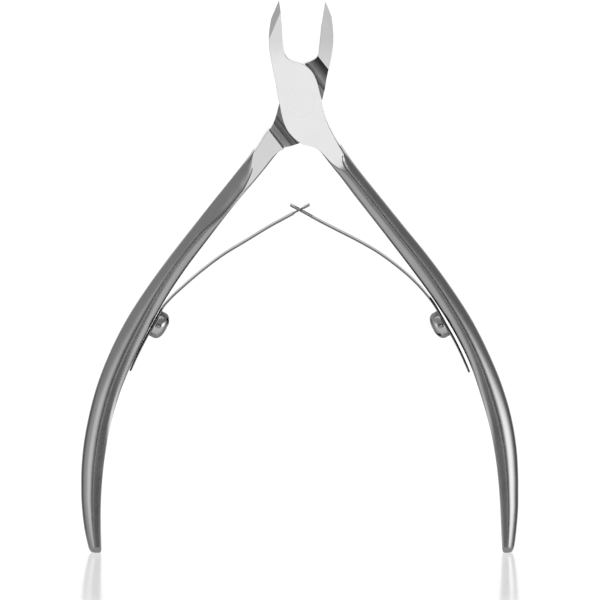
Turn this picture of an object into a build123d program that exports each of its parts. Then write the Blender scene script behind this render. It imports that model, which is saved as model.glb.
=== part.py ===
"""Cuticle nipper, standing open on the ends of its two handles.

Frame: X across the handles, Y through the thickness of the lap joint (front
face at -Y), Z up, origin on the floor under the middle of the tool.
Millimetres.
"""
from build123d import *
import math
import os

# ---------------------------------------------------------------- dimensions
FACE = 3.25            # half thickness of the lap joint and of the jaws
LAP = 0.02             # half of the running gap between the two half laps
PIVOT = (0.103, 84.86)
RIVET_R = 2.0          # shank of the pivot rivet
RIVET_HEAD_R = 2.7     # countersunk ends, ground flush with both faces
RIVET_HEAD_H = 1.0
RUN = 0.04             # radial clearance of the rear arm on the rivet

STRIP_T = 0.32         # thickness of each leaf spring
STRIP_W = 4.0          # width of each leaf spring
NECK_W = 1.3           # tongue of the left spring
SLOT_W = 1.8           # slot of the right spring
TEE_W = 3.4            # cross bar at the end of the tongue
SCREW_R = 2.6
SCREW_WALL = 1.3
SCREW_H = 2.4
SHANK_R = 1.2
SHANK_L = 3.1
DRIVE_W = 0.75
DRIVE_D = 0.95

# cutting edges: low end on the front face, high end on the back face
L_LOW, L_TIP = (-3.533, 101.82), (-3.878, 103.428)
R_LOW, R_TIP = (4.378, 101.67), (4.784, 103.264)


def side_points(curve, dist, n=44, u0=0.0, u1=1.0):
    """Points beside a curve that lies in the XZ plane."""
    out = []
    for i in range(n + 1):
        u = u0 + (u1 - u0) * i / n
        p = curve @ u
        t = curve % u
        out.append((p.X + t.Z * dist, p.Z - t.X * dist))
    return out


def in_xz(pts):
    """Sketch coordinates on the FLAT plane for (x, z) pairs."""
    return [(p[0], p[1]) for p in pts]


# sketch plane seen from the front: local x = X, local y = Z, normal = -Y
FLAT = Plane(origin=(0, 0, 0), x_dir=(1, 0, 0), z_dir=(0, -1, 0))

# ------------------------------------------------------- spring centre lines
LEFT_STRIP = [(1.842, 65.453), (-0.009, 64.457), (-2.478, 63.102),
              (-5.002, 61.73), (-9.752, 58.853), (-14.539, 55.906),
              (-18.111, 53.212), (-21.683, 50.174), (-24.076, 47.928),
              (-25.759, 45.879), (-27.1895, 43.228), (-28.62, 40.577),
              (-30.079, 37.737), (-31.706, 34.128)]
RIGHT_STRIP = [(-1.767, 65.378), (-0.009, 64.457), (3.469, 62.52),
               (7.041, 60.658), (11.098, 58.571), (14.427, 56.653),
               (17.774, 54.247), (20.879, 51.613), (23.253, 49.095),
               (25.666, 45.804), (27.087, 43.2655), (28.508, 40.727),
               (30.023, 37.737), (31.725, 33.864)]
# each strip is straight for 3 mm either side of its screw
LEFT_UP = Spline(*[Vector(x, 0, z) for x, z in LEFT_STRIP[:10]],
                 tangents=[Vector(-4.32, 0, -2.338).normalized(),
                           Vector(-2.861, 0, -5.302).normalized()])
LEFT_DOWN = Spline(*[Vector(x, 0, z) for x, z in LEFT_STRIP[11:]],
                   tangents=[Vector(-2.861, 0, -5.302).normalized(),
                             Vector(-1.55, 0, -3.67).normalized()])
RIGHT_UP = Spline(*[Vector(x, 0, z) for x, z in RIGHT_STRIP[:10]],
                  tangents=[Vector(5.236, 0, -2.842).normalized(),
                            Vector(2.842, 0, -5.077).normalized()])
RIGHT_DOWN = Spline(*[Vector(x, 0, z) for x, z in RIGHT_STRIP[11:]],
                    tangents=[Vector(2.842, 0, -5.077).normalized(),
                              Vector(1.6, 0, -3.85).normalized()])

# the crossing of the two strips, and the direction of each strip there
CROSS = (-0.009, 64.457)
L_DIR = Vector(1.842 + 2.478, 0, 65.453 - 63.102).normalized()
R_DIR = Vector(-1.767 - 3.469, 0, 65.378 - 62.52).normalized()

# seat of each strip under its screw head: centre of the strip, and the
# direction in which the head stands
L_SEAT = (-27.1895, 43.228)
L_ALONG = Vector(-25.759 + 28.62, 0, 45.879 - 40.577).normalized()
L_OUT = Vector(L_ALONG.Z, 0, -L_ALONG.X)
R_SEAT = (27.087, 43.2655)
R_ALONG = Vector(25.666 - 28.508, 0, 45.804 - 40.727).normalized()
R_OUT = Vector(-R_ALONG.Z, 0, R_ALONG.X)

# ------------------------------------------------------------------- outlines
F_JAW_OUT = [L_TIP, (-4.292, 103.474), (-4.628, 102.722), (-4.89, 101.969),
             (-5.264, 100.466), (-5.657, 98.209), (-5.75, 95.953),
             (-5.526, 93.697), (-5.189, 91.815), (-4.722, 89.559),
             (-4.329, 87.303), (-3.992, 85.423), (-3.768, 84.558),
             (-3.45, 82.865), (-3.02, 81.192), (-2.366, 79.688),
             (-1.356, 78.428), (0.14, 77.168)]
F_CROTCH = [(0.14, 77.168), (0.813, 76.905), (1.992, 76.66),
            (2.983, 76.321), (3.656, 75.806), (4.329, 75.037)]
F_FLAT_END = [(4.329, 75.037), (4.9, 74.42), (6.18, 73.36), (7.35, 72.564),
              (7.85, 72.405), (8.1, 72.932), (8.25, 74.087), (8.2, 75.435)]
F_RIGHT = [(8.2, 75.435), (7.527, 76.774), (6.779, 77.902), (6.162, 79.03),
           (5.582, 80.159), (5.096, 81.287), (4.722, 82.415),
           (4.423, 83.543), (4.086, 85.348), (3.693, 86.814),
           (3.301, 88.394), (2.964, 89.446), (2.515, 90.499),
           (1.842, 91.421), (0.87, 92.286)]
F_JAW_IN = [(0.87, 92.286), (0.047, 92.568), (-1.823, 93.038),
            (-2.758, 93.884), (-3.132, 95.765), (-3.319, 98.584), L_LOW]

R_JAW_OUT = [R_TIP, (5.152, 103.474), (5.395, 102.722), (5.582, 101.969),
             (5.937, 100.466), (6.218, 98.209), (6.293, 96.328),
             (6.106, 94.449), (5.769, 92.568), (5.358, 90.687),
             (5.04, 89.184), (4.703, 87.115), (4.273, 85.423)]
R_LAP_LOW = [(4.273, 85.423), (3.974, 84.558), (3.656, 82.865),
             (3.226, 81.192), (2.571, 79.688), (1.561, 78.428),
             (0.065, 77.361), (-1.075, 76.962), (-1.823, 76.68),
             (-3.039, 76.206), (-3.88, 75.634), (-4.55, 74.867)]
R_FLAT_END = [(-12.482, 65.307), (-11.45, 66.97), (-10.36, 69.191),
              (-9.4, 71.455), (-8.95, 73.595), (-8.5, 75.435)]
R_LEFT = [(-8.5, 75.435), (-7.714, 76.774), (-7.059, 77.902),
          (-6.405, 79.03), (-6.0, 79.674)]
R_LAP_LEFT = [(-6.0, 79.674), (-5.5, 79.825), (-4.815, 80.91),
              (-4.254, 82.602), (-3.787, 84.483), (-3.6, 85.606),
              (-3.394, 86.814), (-3.095, 88.394), (-2.758, 89.446),
              (-2.309, 90.499), (-1.636, 91.421), (-0.664, 92.042),
              (0.888, 92.267), (2.291, 92.662), (3.039, 93.038),
              (3.45, 93.47)]
R_JAW_IN = [(3.45, 93.47), (3.525, 94.449), (3.693, 95.953),
            (3.862, 97.456), (3.98, 99.181), R_LOW]

# ------------------------------------------------------ handle cross sections
# (inner edge point, outer edge point, half depth, squareness)
R_SECT = [((4.05, 75.353), (7.55, 76.556), 3.9, 6.0),
          ((5.593, 73.379), (8.351, 75.613), 3.55, 4.0),
          ((7.434, 71.012), (10.084, 73.212), 3.24, 3.0),
          ((9.796, 67.81), (12.507, 70.074), 3.1, 2.5),
          ((12.751, 63.991), (15.572, 66.256), 2.98, 2.35),
          ((16.575, 59.054), (19.48, 61.371), 2.86, 2.3),
          ((20.884, 53.385), (24.002, 55.778), 2.76, 2.3),
          ((25.199, 47.431), (28.431, 49.693), 2.7, 2.3),
          ((28.878, 41.544), (32.352, 43.524), 2.66, 2.3),
          ((31.79, 35.701), (35.47, 37.294), 2.64, 2.3),
          ((33.85, 29.743), (37.966, 31.161), 2.64, 2.3),
          ((35.398, 24.302), (39.664, 25.297), 2.64, 2.3),
          ((36.502, 18.865), (40.631, 19.414), 2.62, 2.3),
          ((37.173, 13.368), (40.954, 13.588), 2.56, 2.3),
          ((37.532, 8.56), (40.945, 8.591), 2.46, 2.3),
          ((37.716, 4.483), (40.629, 4.372), 2.34, 2.3),
          ((37.866, 1.106), (40.088, 0.966), 2.2, 2.3),
          ((37.93, -0.905), (39.75, -1.056), 2.1, 2.3)]
L_SECT = [((-4.25, 75.353), (-7.75, 76.556), 3.9, 6.0),
          ((-5.787, 73.302), (-8.606, 75.658), 3.5, 4.0),
          ((-7.722, 70.907), (-10.423, 73.304), 3.27, 3.2),
          ((-10.335, 67.837), (-12.935, 70.123), 3.14, 2.7),
          ((-13.371, 64.061), (-16.069, 66.222), 3.0, 2.4),
          ((-17.084, 59.108), (-19.938, 61.323), 2.88, 2.3),
          ((-21.306, 53.462), (-24.303, 55.698), 2.78, 2.3),
          ((-25.28, 47.44), (-28.689, 49.645), 2.7, 2.3),
          ((-28.565, 41.432), (-32.531, 43.609), 2.66, 2.3),
          ((-31.456, 35.548), (-35.624, 37.447), 2.64, 2.3),
          ((-33.773, 29.762), (-38.032, 31.166), 2.64, 2.3),
          ((-35.32, 24.314), (-39.578, 25.283), 2.64, 2.3),
          ((-36.357, 18.849), (-40.58, 19.427), 2.62, 2.3),
          ((-36.977, 13.386), (-40.966, 13.571), 2.56, 2.3),
          ((-37.233, 8.625), (-40.821, 8.523), 2.46, 2.3),
          ((-37.224, 4.571), (-40.321, 4.279), 2.34, 2.3),
          ((-37.119, 1.187), (-39.608, 0.888), 2.2, 2.3),
          ((-37.05, -0.905), (-39.2, -1.106), 2.1, 2.3)]
FLAT_CUT = 0.65        # how much of the oval the flat inner side takes off


def oval(inner, outer, half_depth, power):
    """Plane and points of one handle section, seen along the handle."""
    dx, dz = outer[0] - inner[0], outer[1] - inner[1]
    width = math.hypot(dx, dz)
    ux, uz = dx / width, dz / width
    a = (width + FLAT_CUT) / 2
    cx, cz = outer[0] - ux * a, outer[1] - uz * a
    side = 1 if outer[0] > 0 else -1
    pl = Plane(origin=(cx, 0, cz), x_dir=(ux, 0, uz),
               z_dir=(uz * side, 0, -ux * side))
    pts = []
    for i in range(20):
        ang = 2 * math.pi * i / 20
        c, s = math.cos(ang), math.sin(ang)
        pts.append((a * math.copysign(abs(c) ** (2 / power), c),
                    half_depth * math.copysign(abs(s) ** (2 / power), s)))
    return pl, pts


# side view of both arms: flat faces, and rounded handle ends
SIDE = [(-0.75, 0.0), (0.75, 0.0), (1.45, 0.22), (1.95, 0.72), (2.2, 1.5),
        (2.45, 3.5), (FACE, 12.0), (FACE, 105.0), (-FACE, 105.0),
        (-FACE, 12.0), (-2.45, 3.5), (-2.2, 1.5), (-1.95, 0.72),
        (-1.45, 0.22)]

H = STRIP_T / 2
L_UP_BACK, L_UP_FRONT = side_points(LEFT_UP, H, 40), side_points(LEFT_UP, -H, 40)
L_DN_BACK, L_DN_FRONT = side_points(LEFT_DOWN, H, 16), side_points(LEFT_DOWN, -H, 16)
R_UP_BACK, R_UP_FRONT = side_points(RIGHT_UP, -H, 40), side_points(RIGHT_UP, H, 40)
R_DN_BACK, R_DN_FRONT = side_points(RIGHT_DOWN, -H, 16), side_points(RIGHT_DOWN, H, 16)

# inner sides of the handles: free above the strip, then along its back face
# where it is seated, then on down to the rounded end
R_IN_UP = [(3.4, 76.049), (4.329, 75.037), (5.657, 73.301), (6.592, 72.118),
           (7.527, 70.933), (9.191, 68.578), (10.949, 66.281),
           (14.502, 61.768), (17.961, 57.255), (21.366, 52.742),
           (23.1, 50.476), (24.75, 48.23), R_UP_BACK[-1]]
R_IN_END = [R_DN_BACK[-1], (32.94, 32.435), (33.707, 30.179), (35.072, 25.666),
            (36.1, 21.154), (36.829, 16.641), (37.296, 12.126),
            (37.56, 7.616), (37.8, 3.103), (37.93, 0.704)]
R_BOTTOM = [(37.93, 0.704), (38.0, 0.251), (38.4, 0.0), (39.2, 0.0),
            (39.75, 0.201), (40.1, 0.754)]
L_IN_UP = [(-3.2, 76.049), (-3.88, 75.634), (-4.89, 74.475), (-5.788, 73.301),
           (-6.732, 72.118), (-7.714, 70.933), (-9.715, 68.578),
           (-11.603, 66.281), (-15.1, 61.768), (-18.466, 57.255),
           (-21.833, 52.742), (-23.4, 50.476), (-24.93, 48.23), L_UP_BACK[-1]]
L_IN_END = [L_DN_BACK[-1], (-32.828, 32.435), (-33.651, 30.179),
            (-34.997, 25.666), (-35.988, 21.154), (-36.736, 16.641),
            (-37.128, 12.126), (-37.259, 7.616), (-37.166, 3.103),
            (-37.15, 0.503)]
L_BOTTOM = [(-37.15, 0.503), (-37.25, 0.121), (-37.6, 0.0), (-38.2, 0.0),
            (-38.75, 0.151), (-39.3, 0.654), (-39.75, 1.508)]


def clear_of(section, out):
    """Points clear of the outer edge of the handle, for the trim outline."""
    pts = []
    for inner, outer, _, _ in section:
        w = math.hypot(outer[0] - inner[0], outer[1] - inner[1])
        pts.append((outer[0] + (outer[0] - inner[0]) / w * out,
                    outer[1] + (outer[1] - inner[1]) / w * out))
    return pts


def bevel_plane(low, tip, foot, sign):
    """Plane through a cutting edge and one more point of the front face."""
    p = Vector(low[0], -FACE, low[1])
    q = Vector(tip[0], FACE, tip[1])
    r = Vector(foot[0], -FACE, foot[1])
    n = (q - p).cross(r - p).normalized()
    if n.X * sign < 0:
        n = n * -1
    return Plane(origin=p, x_dir=(r - p).normalized(), z_dir=n)


def rivet_profile(shank, head, y0, y1, cone0, cone1):
    """Half profile (radius, y) of the rivet or of its seat."""
    pts = [(0, y0)]
    if cone0:
        pts += [(head, y0), (shank, y0 + RIVET_HEAD_H)]
    else:
        pts += [(shank, y0)]
    if cone1:
        pts += [(shank, y1 - RIVET_HEAD_H), (head, y1)]
    else:
        pts += [(shank, y1)]
    return pts + [(0, y1)]


PIVOT_PLANE = Plane(origin=(PIVOT[0], 0, PIVOT[1]), x_dir=(1, 0, 0),
                    z_dir=(0, 0, 1))
PIVOT_AXIS = Axis((PIVOT[0], 0, PIVOT[1]), (0, 1, 0))
L_BASE = Vector(L_SEAT[0], 0, L_SEAT[1]) + L_OUT * H
R_BASE = Vector(R_SEAT[0], 0, R_SEAT[1]) + R_OUT * H
L_HEAD = Plane(origin=L_BASE, x_dir=(0, 1, 0), z_dir=L_OUT)
R_HEAD = Plane(origin=R_BASE, x_dir=(0, 1, 0), z_dir=R_OUT)
L_CROSS = Plane(origin=(CROSS[0], 0, CROSS[1]), x_dir=L_DIR,
                z_dir=Vector(-L_DIR.Z, 0, L_DIR.X))
R_CROSS = Plane(origin=(CROSS[0], 0, CROSS[1]), x_dir=R_DIR,
                z_dir=Vector(R_DIR.Z, 0, -R_DIR.X))

# ------------------------------------------------------------------ front arm
# left jaw, front half of the lap joint, right handle
with BuildPart() as front_arm:
    for p_in, p_out, depth, power in R_SECT:
        pl, pts = oval(p_in, p_out, depth, power)
        with BuildSketch(pl):
            with BuildLine():
                Spline(*pts, periodic=True)
            make_face()
    loft()
    # flat inner side and rounded end
    with BuildSketch(FLAT):
        with BuildLine():
            Spline(*R_IN_UP)
            Line(R_UP_BACK[-1], R_DN_BACK[0])
            Spline(*R_DN_BACK)
            Spline(*R_IN_END)
            Spline(*R_BOTTOM)
            Polyline(R_BOTTOM[-1], *reversed(clear_of(R_SECT[:-1], 1.2)),
                     (6.0, 78.367), R_IN_UP[0])
        make_face()
    extrude(amount=6, both=True, mode=Mode.INTERSECT)
    # plate and jaw
    with BuildSketch(FLAT):
        with BuildLine():
            Spline(*F_JAW_OUT)
            Spline(*F_CROTCH)
            Polyline(*F_FLAT_END)
            Spline(*F_RIGHT)
            Spline(*F_JAW_IN)
            Line(L_LOW, L_TIP)
        make_face()
    extrude(amount=FACE, both=True)
    # flat faces and rounded handle end, seen from the side
    with BuildSketch(Plane.YZ):
        with BuildLine():
            Polyline(*SIDE, close=True)
        make_face()
    extrude(amount=60, both=True, mode=Mode.INTERSECT)
    # outer ground facet of the jaw
    with BuildSketch(bevel_plane(L_LOW, L_TIP, (-5.563, 97.04), -1)):
        Rectangle(24, 24)
    extrude(amount=5, mode=Mode.SUBTRACT)
    # relief behind the cutting edge
    with BuildSketch(bevel_plane(L_LOW, L_TIP, (-3.36, 98.55), 1)):
        with Locations((0.6, 0)):
            Rectangle(11, 20)
    extrude(amount=3, mode=Mode.SUBTRACT)
    # back half cut away between the two shoulders
    with BuildSketch(FLAT.offset(LAP)):
        with BuildLine():
            Polyline((-0.744, 96.651), (-7.69, 87.919), (-7.69, 72.964),
                     (0.726, 72.964), (8.344, 82.642), (8.344, 96.651),
                     close=True)
        make_face()
    extrude(amount=-(FACE + 1), mode=Mode.SUBTRACT)
    # rivet seat
    with BuildSketch(PIVOT_PLANE):
        with BuildLine():
            Polyline(*rivet_profile(RIVET_R, RIVET_HEAD_R, -FACE, FACE,
                                    True, False), close=True)
        make_face()
    revolve(axis=PIVOT_AXIS, mode=Mode.SUBTRACT)
    # blind screw hole
    with BuildSketch(R_HEAD):
        Circle(SHANK_R)
    extrude(amount=-SHANK_L, mode=Mode.SUBTRACT)
front_arm.part.label = "front_arm"

# ------------------------------------------------------------------- rear arm
# right jaw, back half of the lap joint, left handle
with BuildPart() as rear_arm:
    for p_in, p_out, depth, power in L_SECT:
        pl, pts = oval(p_in, p_out, depth, power)
        with BuildSketch(pl):
            with BuildLine():
                Spline(*pts, periodic=True)
            make_face()
    loft()
    with BuildSketch(FLAT):
        with BuildLine():
            Spline(*L_IN_UP)
            Line(L_UP_BACK[-1], L_DN_BACK[0])
            Spline(*L_DN_BACK)
            Spline(*L_IN_END)
            Spline(*L_BOTTOM)
            Polyline(L_BOTTOM[-1], *reversed(clear_of(L_SECT[:-1], 1.2)),
                     (-6.2, 78.367), L_IN_UP[0])
        make_face()
    extrude(amount=6, both=True, mode=Mode.INTERSECT)
    with BuildSketch(FLAT):
        with BuildLine():
            Spline(*R_JAW_OUT)
            Spline(*R_LAP_LOW)
            Spline(R_LAP_LOW[-1], (-5.788, 73.301), (-6.732, 72.118),
                   (-7.714, 70.933), (-9.715, 68.578), (-11.603, 66.281),
                   R_FLAT_END[0])
            Polyline(*R_FLAT_END)
            Spline(*R_LEFT)
            Spline(*R_LAP_LEFT)
            Spline(*R_JAW_IN)
            Line(R_LOW, R_TIP)
        make_face()
    extrude(amount=FACE, both=True)
    with BuildSketch(Plane.YZ):
        with BuildLine():
            Polyline(*SIDE, close=True)
        make_face()
    extrude(amount=60, both=True, mode=Mode.INTERSECT)
    with BuildSketch(bevel_plane(R_LOW, R_TIP, (6.255, 97.04), 1)):
        Rectangle(24, 24)
    extrude(amount=5, mode=Mode.SUBTRACT)
    with BuildSketch(bevel_plane(R_LOW, R_TIP, (3.96, 98.5), -1)):
        with Locations((0.6, 0)):
            Rectangle(11, 20)
    extrude(amount=3, mode=Mode.SUBTRACT)
    # front half cut away between the two shoulders
    with BuildSketch(FLAT.offset(-LAP)):
        with BuildLine():
            Polyline((1.9, 95.44), (7.24, 88.663), (7.24, 73.71),
                     (-1.21, 73.71), (-7.16, 81.424), (-7.16, 95.44),
                     close=True)
        make_face()
    extrude(amount=FACE + 1, mode=Mode.SUBTRACT)
    # bore and countersink that turn on the rivet
    with BuildSketch(PIVOT_PLANE):
        with BuildLine():
            Polyline(*rivet_profile(RIVET_R + RUN, RIVET_HEAD_R + RUN,
                                    -FACE, FACE, False, True), close=True)
        make_face()
    revolve(axis=PIVOT_AXIS, mode=Mode.SUBTRACT)
    with BuildSketch(L_HEAD):
        Circle(SHANK_R)
    extrude(amount=-SHANK_L, mode=Mode.SUBTRACT)
rear_arm.part.label = "rear_arm"

# ---------------------------------------------------------------- pivot rivet
with BuildPart() as pivot_rivet:
    with BuildSketch(PIVOT_PLANE):
        with BuildLine():
            Polyline(*rivet_profile(RIVET_R, RIVET_HEAD_R, -FACE, FACE,
                                    True, True), close=True)
        make_face()
    revolve(axis=PIVOT_AXIS)
pivot_rivet.part.label = "pivot_rivet"

# ---------------------------------------------------------------- leaf springs
with BuildPart() as left_leaf_spring:
    with BuildSketch(FLAT):
        with BuildLine():
            Spline(*L_UP_BACK)
            Line(L_UP_BACK[-1], L_DN_BACK[0])
            Spline(*L_DN_BACK)
            Line(L_DN_BACK[-1], L_DN_FRONT[-1])
            Spline(*reversed(L_DN_FRONT))
            Line(L_DN_FRONT[0], L_UP_FRONT[-1])
            Spline(*reversed(L_UP_FRONT))
            Line(L_UP_FRONT[0], L_UP_BACK[0])
        make_face()
    extrude(amount=STRIP_W / 2, both=True)
    # tongue with a cross bar
    with BuildSketch(L_CROSS):
        with Locations((-0.25, NECK_W / 2 + 1), (-0.25, -NECK_W / 2 - 1)):
            Rectangle(2.0, 2)
        with Locations((2.05, TEE_W / 2 + 1), (2.05, -TEE_W / 2 - 1)):
            Rectangle(2.6, 2)
    extrude(amount=1, both=True, mode=Mode.SUBTRACT)
    # clearance hole
    with BuildSketch(L_HEAD):
        Circle(SHANK_R + 0.1)
    extrude(amount=1, both=True, mode=Mode.SUBTRACT)
    # rounded tail
    with BuildSketch(Plane(origin=(LEFT_STRIP[-1][0], 0, LEFT_STRIP[-1][1]),
                           x_dir=(-0.389, 0, -0.921),
                           z_dir=(0.921, 0, -0.389))):
        with Locations((-0.9, 0)):
            Rectangle(2.2, 5)
        with Locations((-2.0, 0)):
            Circle(2.0, mode=Mode.SUBTRACT)
    extrude(amount=1, both=True, mode=Mode.SUBTRACT)
left_leaf_spring.part.label = "left_leaf_spring"

with BuildPart() as right_leaf_spring:
    with BuildSketch(FLAT):
        with BuildLine():
            Spline(*R_UP_BACK)
            Line(R_UP_BACK[-1], R_DN_BACK[0])
            Spline(*R_DN_BACK)
            Line(R_DN_BACK[-1], R_DN_FRONT[-1])
            Spline(*reversed(R_DN_FRONT))
            Line(R_DN_FRONT[0], R_UP_FRONT[-1])
            Spline(*reversed(R_UP_FRONT))
            Line(R_UP_FRONT[0], R_UP_BACK[0])
        make_face()
    extrude(amount=STRIP_W / 2, both=True)
    # slot the tongue hooks through
    with BuildSketch(R_CROSS):
        with Locations((-0.8, 0)):
            Rectangle(3.6, SLOT_W)
    extrude(amount=1, both=True, mode=Mode.SUBTRACT)
    with BuildSketch(R_HEAD):
        Circle(SHANK_R + 0.1)
    extrude(amount=1, both=True, mode=Mode.SUBTRACT)
    with BuildSketch(Plane(origin=(RIGHT_STRIP[-1][0], 0, RIGHT_STRIP[-1][1]),
                           x_dir=(0.384, 0, -0.923),
                           z_dir=(0.923, 0, 0.384))):
        with Locations((-0.9, 0)):
            Rectangle(2.2, 5)
        with Locations((-2.0, 0)):
            Circle(2.0, mode=Mode.SUBTRACT)
    extrude(amount=1, both=True, mode=Mode.SUBTRACT)
right_leaf_spring.part.label = "right_leaf_spring"

# --------------------------------------------------------------------- screws
with BuildPart() as left_spring_screw:
    with BuildSketch(Plane(origin=L_BASE, x_dir=(0, 1, 0),
                           z_dir=Vector(0, 1, 0).cross(L_OUT))):
        with BuildLine():
            Polyline((0, SCREW_H), (0, -SHANK_L), (SHANK_R, -SHANK_L),
                     (SHANK_R, 0), (SCREW_R, 0), (SCREW_R, SCREW_WALL))
            ThreePointArc((SCREW_R, SCREW_WALL), (1.62, 2.12), (0, SCREW_H))
        make_face()
    revolve(axis=Axis(L_BASE, L_OUT))
    with BuildSketch(L_HEAD.offset(SCREW_H - DRIVE_D)):
        Rectangle(DRIVE_W, 8, rotation=38)
    extrude(amount=3, mode=Mode.SUBTRACT)
left_spring_screw.part.label = "left_spring_screw"

with BuildPart() as right_spring_screw:
    with BuildSketch(Plane(origin=R_BASE, x_dir=(0, 1, 0),
                           z_dir=Vector(0, 1, 0).cross(R_OUT))):
        with BuildLine():
            Polyline((0, SCREW_H), (0, -SHANK_L), (SHANK_R, -SHANK_L),
                     (SHANK_R, 0), (SCREW_R, 0), (SCREW_R, SCREW_WALL))
            ThreePointArc((SCREW_R, SCREW_WALL), (1.62, 2.12), (0, SCREW_H))
        make_face()
    revolve(axis=Axis(R_BASE, R_OUT))
    with BuildSketch(R_HEAD.offset(SCREW_H - DRIVE_D)):
        Rectangle(DRIVE_W, 8, rotation=52)
    extrude(amount=3, mode=Mode.SUBTRACT)
right_spring_screw.part.label = "right_spring_screw"

# --------------------------------------------------------------------- export
os.makedirs("parts", exist_ok=True)
export_step(front_arm.part, "parts/front_arm.step")
export_step(rear_arm.part, "parts/rear_arm.step")
export_step(pivot_rivet.part, "parts/pivot_rivet.step")
export_step(left_leaf_spring.part, "parts/left_leaf_spring.step")
export_step(right_leaf_spring.part, "parts/right_leaf_spring.step")
export_step(left_spring_screw.part, "parts/left_spring_screw.step")
export_step(right_spring_screw.part, "parts/right_spring_screw.step")
for name, body in (("front_arm", front_arm), ("rear_arm", rear_arm),
                   ("pivot_rivet", pivot_rivet),
                   ("left_leaf_spring", left_leaf_spring),
                   ("right_leaf_spring", right_leaf_spring),
                   ("left_spring_screw", left_spring_screw),
                   ("right_spring_screw", right_spring_screw)):
    bb = body.part.bounding_box()
    print(name, len(body.part.solids()), round(body.part.volume, 2),
          [round(v, 2) for v in (bb.min.X, bb.min.Y, bb.min.Z,
                                 bb.max.X, bb.max.Y, bb.max.Z)])
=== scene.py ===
import bpy
import bmesh
import math
import random
from mathutils import Matrix, Vector


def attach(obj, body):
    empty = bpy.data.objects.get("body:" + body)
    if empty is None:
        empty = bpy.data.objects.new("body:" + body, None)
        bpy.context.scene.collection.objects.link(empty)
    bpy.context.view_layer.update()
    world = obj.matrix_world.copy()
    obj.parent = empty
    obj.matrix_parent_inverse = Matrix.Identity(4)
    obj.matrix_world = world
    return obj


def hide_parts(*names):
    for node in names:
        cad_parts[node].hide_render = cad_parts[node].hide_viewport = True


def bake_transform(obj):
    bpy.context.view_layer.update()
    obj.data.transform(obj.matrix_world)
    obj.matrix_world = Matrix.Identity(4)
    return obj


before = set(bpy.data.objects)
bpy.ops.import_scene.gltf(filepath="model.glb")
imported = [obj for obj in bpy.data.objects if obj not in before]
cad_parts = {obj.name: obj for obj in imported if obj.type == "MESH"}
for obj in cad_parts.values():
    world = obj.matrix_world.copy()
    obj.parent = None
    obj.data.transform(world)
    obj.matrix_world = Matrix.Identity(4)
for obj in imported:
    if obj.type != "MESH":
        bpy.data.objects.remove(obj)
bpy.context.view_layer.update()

random.seed(7)
MM = 0.001
FACE = 3.25        # half thickness of the joint and jaws, mm
LAP = 0.03         # the half laps stop this far from the middle, mm
PIVOT = (0.103, 84.86)
L_LOW, L_TIP = (-3.553, 101.82), (-3.898, 103.428)
R_LOW, R_TIP = (4.398, 101.67), (4.804, 103.264)
STRIP_T = 0.32
STRIP_W = 4.0

# ------------------------------------------------------------------ outlines
# Pairs of points across each arm, from above the jaw's tip to the end of its
# handle, in mm: x, z on the side that becomes the handle's inner side, then
# x, z on the side that becomes its outer side.
FRONT_KEYS = [
    (-4.75, 105.918, -3.3, 105.918),
    (-4.95, 103.303, -3.3, 103.303),
    (-5.1, 102.097, -3.3, 101.896),
    (-5.264, 100.466, -3.31, 100.186),
    (-5.5, 99.181, -3.29, 99.08),
    (-5.657, 98.209, -3.27, 98.276),
    (-5.75, 95.953, -3.132, 95.765),
    (-5.68, 94.756, -2.97, 94.656),
    (-5.526, 93.697, -2.72, 93.852),
    (-5.38, 92.846, -2.33, 93.249),
    (-5.25, 92.142, -1.823, 92.838),
    (-5.12, 91.438, -0.95, 92.476),
    (-5.02, 90.936, 0.047, 92.208),
    (-4.92, 90.433, 0.87, 91.926),
    (-4.8, 89.93, 1.4, 91.591),
    (-4.7, 89.427, 1.95, 91.118),
    (-4.55, 88.623, 2.515, 90.399),
    (-4.329, 87.303, 2.964, 89.446),
    (-4.13, 86.31, 3.301, 88.394),
    (-3.992, 85.423, 3.72, 86.712),
    (-3.768, 84.558, 4.086, 85.348),
    (-3.45, 82.865, 4.423, 83.543),
    (-3.02, 81.192, 4.76, 82.288),
    (-2.366, 79.688, 5.14, 81.182),
    (-1.356, 78.428, 5.582, 80.159),
    (-0.55, 77.693, 5.87, 79.573),
    (0.14, 77.241, 6.162, 79.03),
    (0.9, 76.879, 6.46, 78.467),
    (1.992, 76.66, 6.779, 77.902),
    (2.983, 76.321, 7.12, 77.361),
    (3.656, 75.806, 7.527, 76.774),
    (4.329, 75.037, 7.93, 76.182),
    (5.593, 73.379, 8.351, 75.613),
    (6.5, 72.194, 9.22, 74.42),
    (7.434, 71.012, 10.084, 73.212),
    (9.796, 67.81, 12.507, 70.074),
    (12.751, 63.991, 15.572, 66.256),
    (16.575, 59.054, 19.48, 61.371),
    (20.884, 53.385, 24.002, 55.778),
    (25.199, 47.431, 28.431, 49.693),
    (28.878, 41.544, 32.352, 43.524),
    (31.79, 35.701, 35.47, 37.294),
    (33.85, 29.743, 37.966, 31.161),
    (35.398, 24.302, 39.664, 25.297),
    (36.502, 18.865, 40.631, 19.414),
    (37.173, 13.368, 40.954, 13.588),
    (37.532, 8.56, 40.945, 8.591),
    (37.716, 4.483, 40.629, 4.372),
    (37.866, 1.307, 40.22, 1.207),
    (37.93, 0, 39.95, 0),
]
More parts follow.
